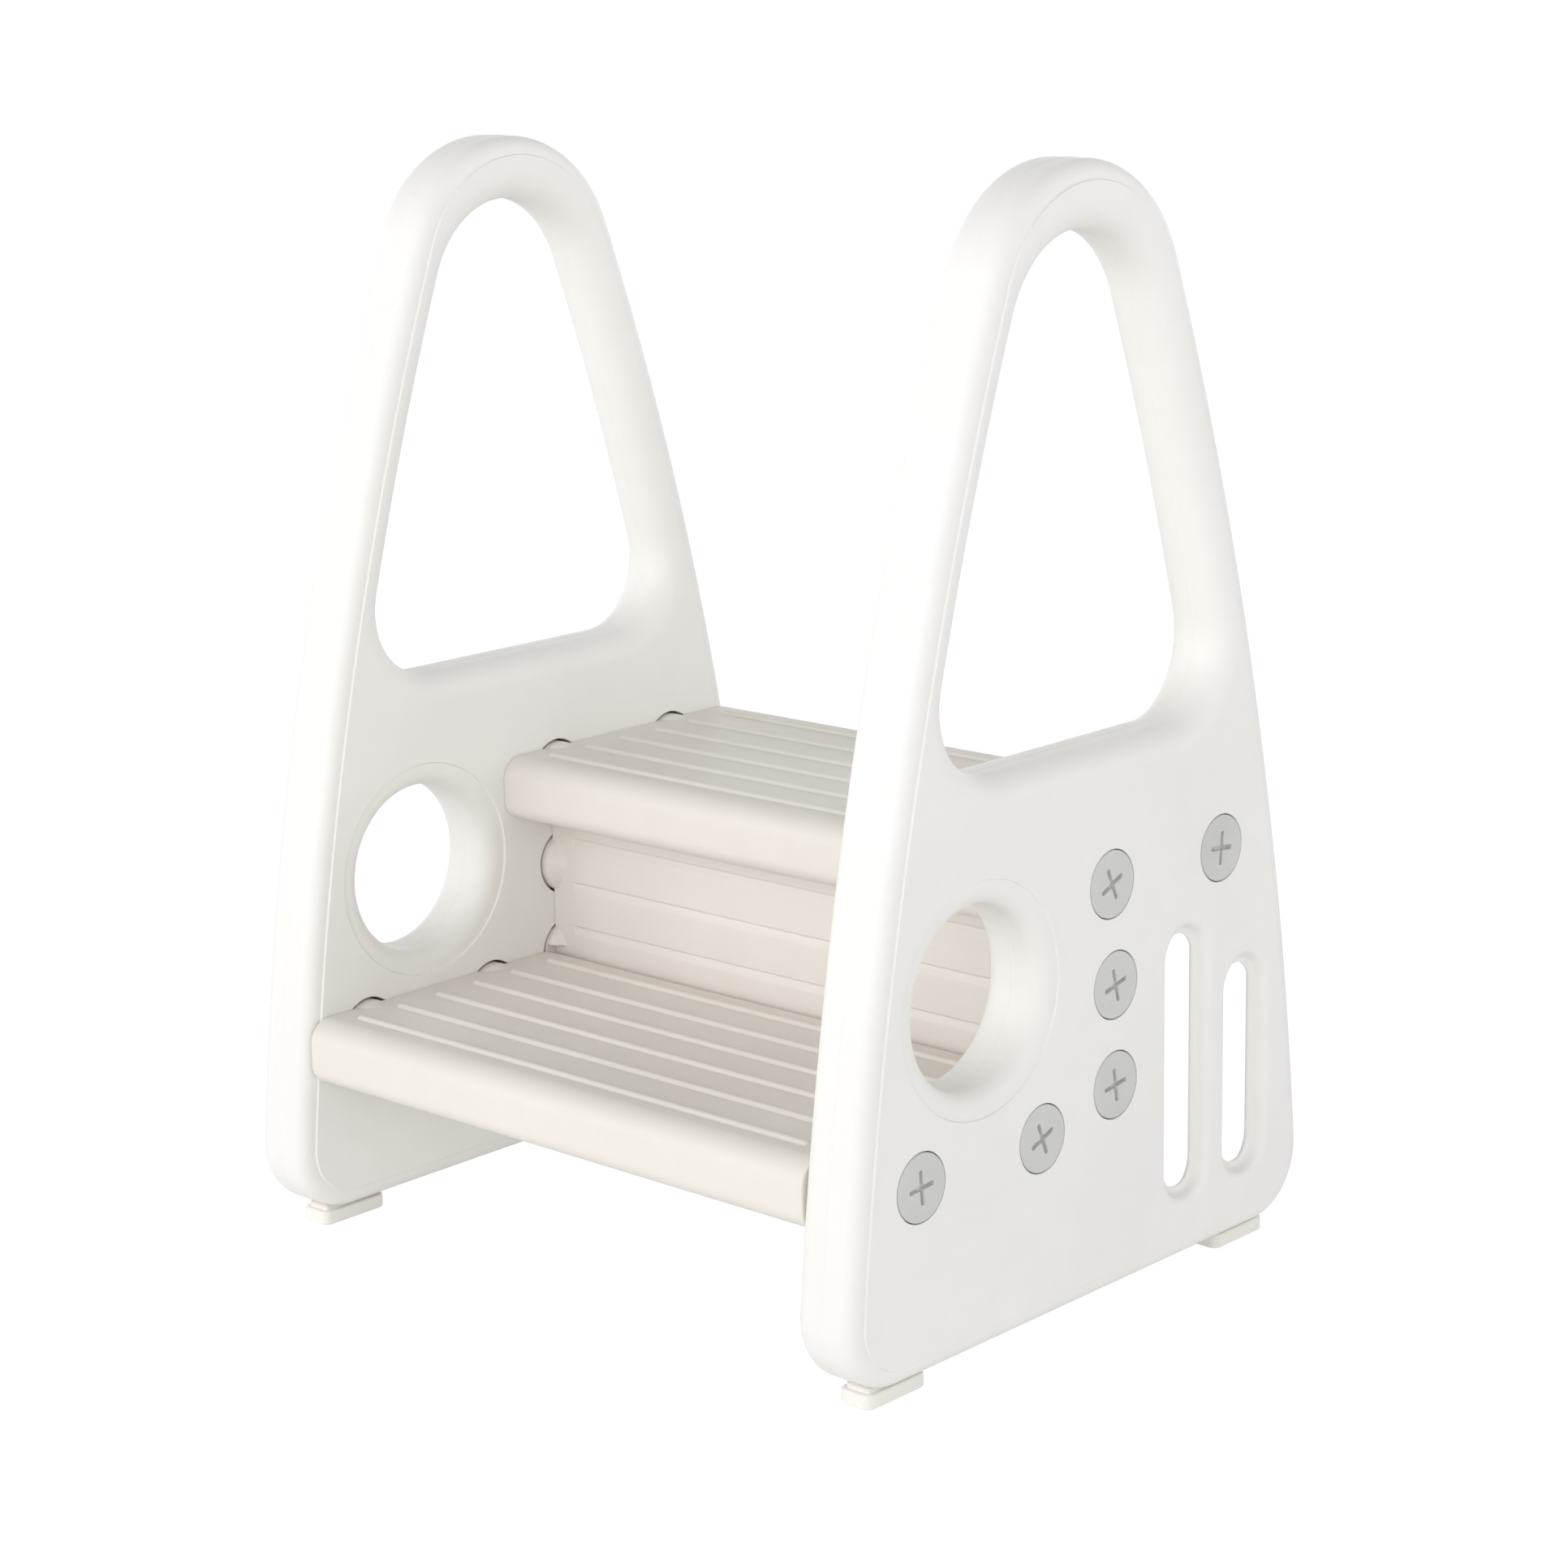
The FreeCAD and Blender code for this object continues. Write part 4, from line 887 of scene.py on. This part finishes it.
# %% [markdown]
# The third is use. Hands and shoes rub patches of the grain a little smoother, and drag
# hair-thin scratches, mostly across the treads. The mask is 1 where a surface is rubbed.

# %% Handling marks
def build_handling_marks():
    """Mask = the larger of rubbed patches and thin scratches times their amount."""
    group, given, result = new_group(
        "handling_marks",
        [("Vector", "Vector", None), ("Patch Scale", "Float", 12.0), ("Scratch Scale", "Float", 90.0),
         ("Scratches", "Float", 0.3)],
        [("Mask", "Float")])
    patch = noise_value(group, given["Vector"], given["Patch Scale"], 4.0)
    rubbed = add_node(group, "MapRange", {"Value": patch, "From Min": 0.5, "From Max": 0.72})
    stretched = add_node(group, "Mapping", {"Vector": given["Vector"], "Scale": (0.12, 1.0, 1.0),
                                            "Rotation": (0.2, 0.3, 0.35)})
    hair = noise_value(group, stretched.outputs["Vector"], given["Scratch Scale"], 5.0, 0.4)
    lines = add_node(group, "MapRange", {"Value": hair, "From Min": 0.66, "From Max": 0.72})
    thin = math_node(group, "MULTIPLY", lines.outputs["Result"], given["Scratches"])
    group.links.new(math_node(group, "MAXIMUM", rubbed.outputs["Result"], thin), result["Mask"])
    return group


groups = {"clouds": build_resin_clouds(), "skin": build_mould_skin(), "marks": build_handling_marks()}
print("groups", [group.name for group in groups.values()])

# %% [markdown]
# A finish is a Principled BSDF with these three groups in front of it. Roughness starts at
# the finish's own value, rises in the clouds and falls where hands have rubbed. A finish can
# have a little subsurface light, but none of the finishes here uses it.

# %% Finishes
def group_node(tree, name, **values):
    """A group placed in a material, with its inputs linked or set; _ in a name is a space."""
    node = tree.nodes.new("ShaderNodeGroup")
    node.node_tree = groups[name]
    for label, value in values.items():
        socket = node.inputs[label.replace("_", " ")]
        if isinstance(value, bpy.types.NodeSocket):
            tree.links.new(value, socket)
        else:
            socket.default_value = value
    return node.outputs


def moulded_finish(name, resin, shade, roughness, grain, wave, scratches, under_skin=0.0, clouds=0.6):
    """Satin moulded plastic or rubber, as the lesson above describes."""
    material = bpy.data.materials.new(name)
    material.use_nodes = True
    tree = material.node_tree
    place = add_node(tree, "TexCoord").outputs["Object"]
    colour = group_node(tree, "clouds", Vector=place, Resin=linear(*resin), Shade=linear(*shade),
                        Amount=clouds)
    height = group_node(tree, "skin", Vector=place, Grain=grain, Wave=wave)["Height"]
    mask = group_node(tree, "marks", Vector=place, Scratches=scratches)["Mask"]
    cloudy = math_node(tree, "MULTIPLY_ADD", colour["Cloud"], 0.06)
    cloudy.node.inputs[2].default_value = roughness
    polish = math_node(tree, "MULTIPLY", mask, 0.07)
    bump = add_node(tree, "Bump", {"Height": height, "Strength": 0.35, "Distance": 0.0004})
    shader = tree.nodes["Principled BSDF"]
    tree.links.new(colour["Color"], shader.inputs["Base Color"])
    tree.links.new(math_node(tree, "SUBTRACT", cloudy, polish), shader.inputs["Roughness"])
    tree.links.new(bump.outputs["Normal"], shader.inputs["Normal"])
    shader.inputs["IOR"].default_value = 1.5
    shader.inputs["Subsurface Weight"].default_value = under_skin
    shader.inputs["Subsurface Radius"].default_value = (1.0, 0.8, 0.6)
    shader.inputs["Subsurface Scale"].default_value = 0.003
    return material


panel_white = moulded_finish("panel_white", (241, 240, 236), (235, 234, 230), 0.42, 0.05, 1.0, 0.2)
tread_cream = moulded_finish("tread_cream", (233, 228, 221), (227, 221, 213), 0.46, 0.07, 0.8, 0.6)
screw_grey = moulded_finish("screw_grey", (211, 211, 208), (196, 198, 195), 0.38, 0.03, 0.3, 0.4)
foot_rubber = moulded_finish("foot_rubber", (238, 235, 229), (230, 227, 221), 0.7, 0.12, 0.3, 0.1)

for piece in panels.values():
    piece.data.materials.append(panel_white)
for piece in (*treads.values(), riser):
    piece.data.materials.append(tread_cream)
for piece in screws:
    piece.data.materials.append(screw_grey)
for piece in feet:
    piece.data.materials.append(foot_rubber)

# %% [markdown]
# ## Light, floor and camera
#
# The stool stands in a white studio: a bright tent all round, a large soft lamp on each side
# of the front, and a pale floor that throws light back up. The tent is bright at the sides
# and dim overhead, so fronts are lighter than the tops of the treads. To the camera the tent
# is plain white, and so is most of the floor, which leaves only faint shadows on it.

# %% Studio
TENT, OVERHEAD = 1.6, 0.15
world = bpy.data.worlds.new("studio_tent")
world.use_nodes = True
bpy.context.scene.world = world
tree = world.node_tree
tree.nodes.clear()
direction = add_node(tree, "TexCoord").outputs["Generated"]
upward = add_node(tree, "SeparateXYZ", {"Vector": direction}).outputs["Z"]
ramp = add_node(tree, "MapRange", {"Value": upward, "From Min": 0.0, "From Max": 1.0, "To Min": TENT,
                                   "To Max": OVERHEAD}).outputs["Result"]
lit = add_node(tree, "Background", {"Color": (1, 1, 1, 1), "Strength": ramp})
seen = add_node(tree, "Background", {"Color": (1, 1, 1, 1), "Strength": 1.05})
chosen = add_node(tree, "MixShader", {0: add_node(tree, "LightPath").outputs["Is Camera Ray"],
                                      1: lit.outputs[0], 2: seen.outputs[0]})
tree.links.new(chosen.outputs[0], add_node(tree, "OutputWorld").inputs["Surface"])

# %% Floor and lamps
PAPER_GLOW, GLOW_SHARE = 1.07, 0.86
floor_mesh = bpy.data.meshes.new("floor")
REACH = 9.0
floor_mesh.from_pydata([(-REACH, -REACH, 0), (REACH, -REACH, 0), (REACH, REACH, 0), (-REACH, REACH, 0)], [],
                       [(0, 1, 2, 3)])
floor = bpy.data.objects.new("floor", floor_mesh)
bpy.context.scene.collection.objects.link(floor)
paper = bpy.data.materials.new("white_paper")
paper.use_nodes = True
tree = paper.node_tree
matt = tree.nodes["Principled BSDF"]
matt.inputs["Base Color"].default_value = (0.9, 0.9, 0.9, 1)
matt.inputs["Roughness"].default_value = 0.9
matt.inputs["Emission Color"].default_value = (1, 1, 1, 1)
matt.inputs["Emission Strength"].default_value = 0.11
glow = add_node(tree, "Emission", {"Color": (1, 1, 1, 1), "Strength": PAPER_GLOW})
camera_ray = add_node(tree, "LightPath").outputs["Is Camera Ray"]
share = math_node(tree, "MULTIPLY", camera_ray, GLOW_SHARE)
mixed = add_node(tree, "MixShader", {0: share, 1: matt.outputs[0], 2: glow.outputs[0]})
tree.links.new(mixed.outputs[0], tree.nodes["Material Output"].inputs["Surface"])
floor_mesh.materials.append(paper)

for side_name, place, energy in (("left", (-0.9, -2.4, 1.1), 11.7), ("right", (0.9, -2.3, 1.1), 9.3)):
    lamp_data = bpy.data.lights.new(f"{side_name}_lamp", "AREA")
    lamp_data.shape, lamp_data.size, lamp_data.size_y, lamp_data.energy = "RECTANGLE", 1.6, 1.4, energy
    lamp = bpy.data.objects.new(f"{side_name}_lamp", lamp_data)
    bpy.context.scene.collection.objects.link(lamp)
    lamp.location = place
    lamp.rotation_mode = "QUATERNION"
    lamp.rotation_quaternion = (Vector((0, 0, 0.3)) - lamp.location).to_track_quat("-Z", "Y")
    print(lamp.name, "energy", energy)

# %% Camera
CAMERA_PLACE = (1.3214, -1.4217, 0.7220)
AZIMUTH, ELEVATION, ROLL, LENS = math.radians(42.67), math.radians(13.49), math.radians(-1.07), 83.12
back = Vector((math.sin(AZIMUTH) * math.cos(ELEVATION), -math.cos(AZIMUTH) * math.cos(ELEVATION),
               math.sin(ELEVATION)))
level = Vector((math.cos(AZIMUTH), math.sin(AZIMUTH), 0))
upright = back.cross(level)
right = level * math.cos(ROLL) + upright * math.sin(ROLL)
up = upright * math.cos(ROLL) - level * math.sin(ROLL)
camera_data = bpy.data.cameras.new("camera")
camera_data.lens, camera_data.sensor_width = LENS, 36.0
camera = bpy.data.objects.new("camera", camera_data)
bpy.context.scene.collection.objects.link(camera)
camera.matrix_world = Matrix.Translation(CAMERA_PLACE) @ Matrix((right, up, back)).transposed().to_4x4()
bpy.context.scene.camera = camera
bpy.context.scene.view_settings.view_transform = "Standard"
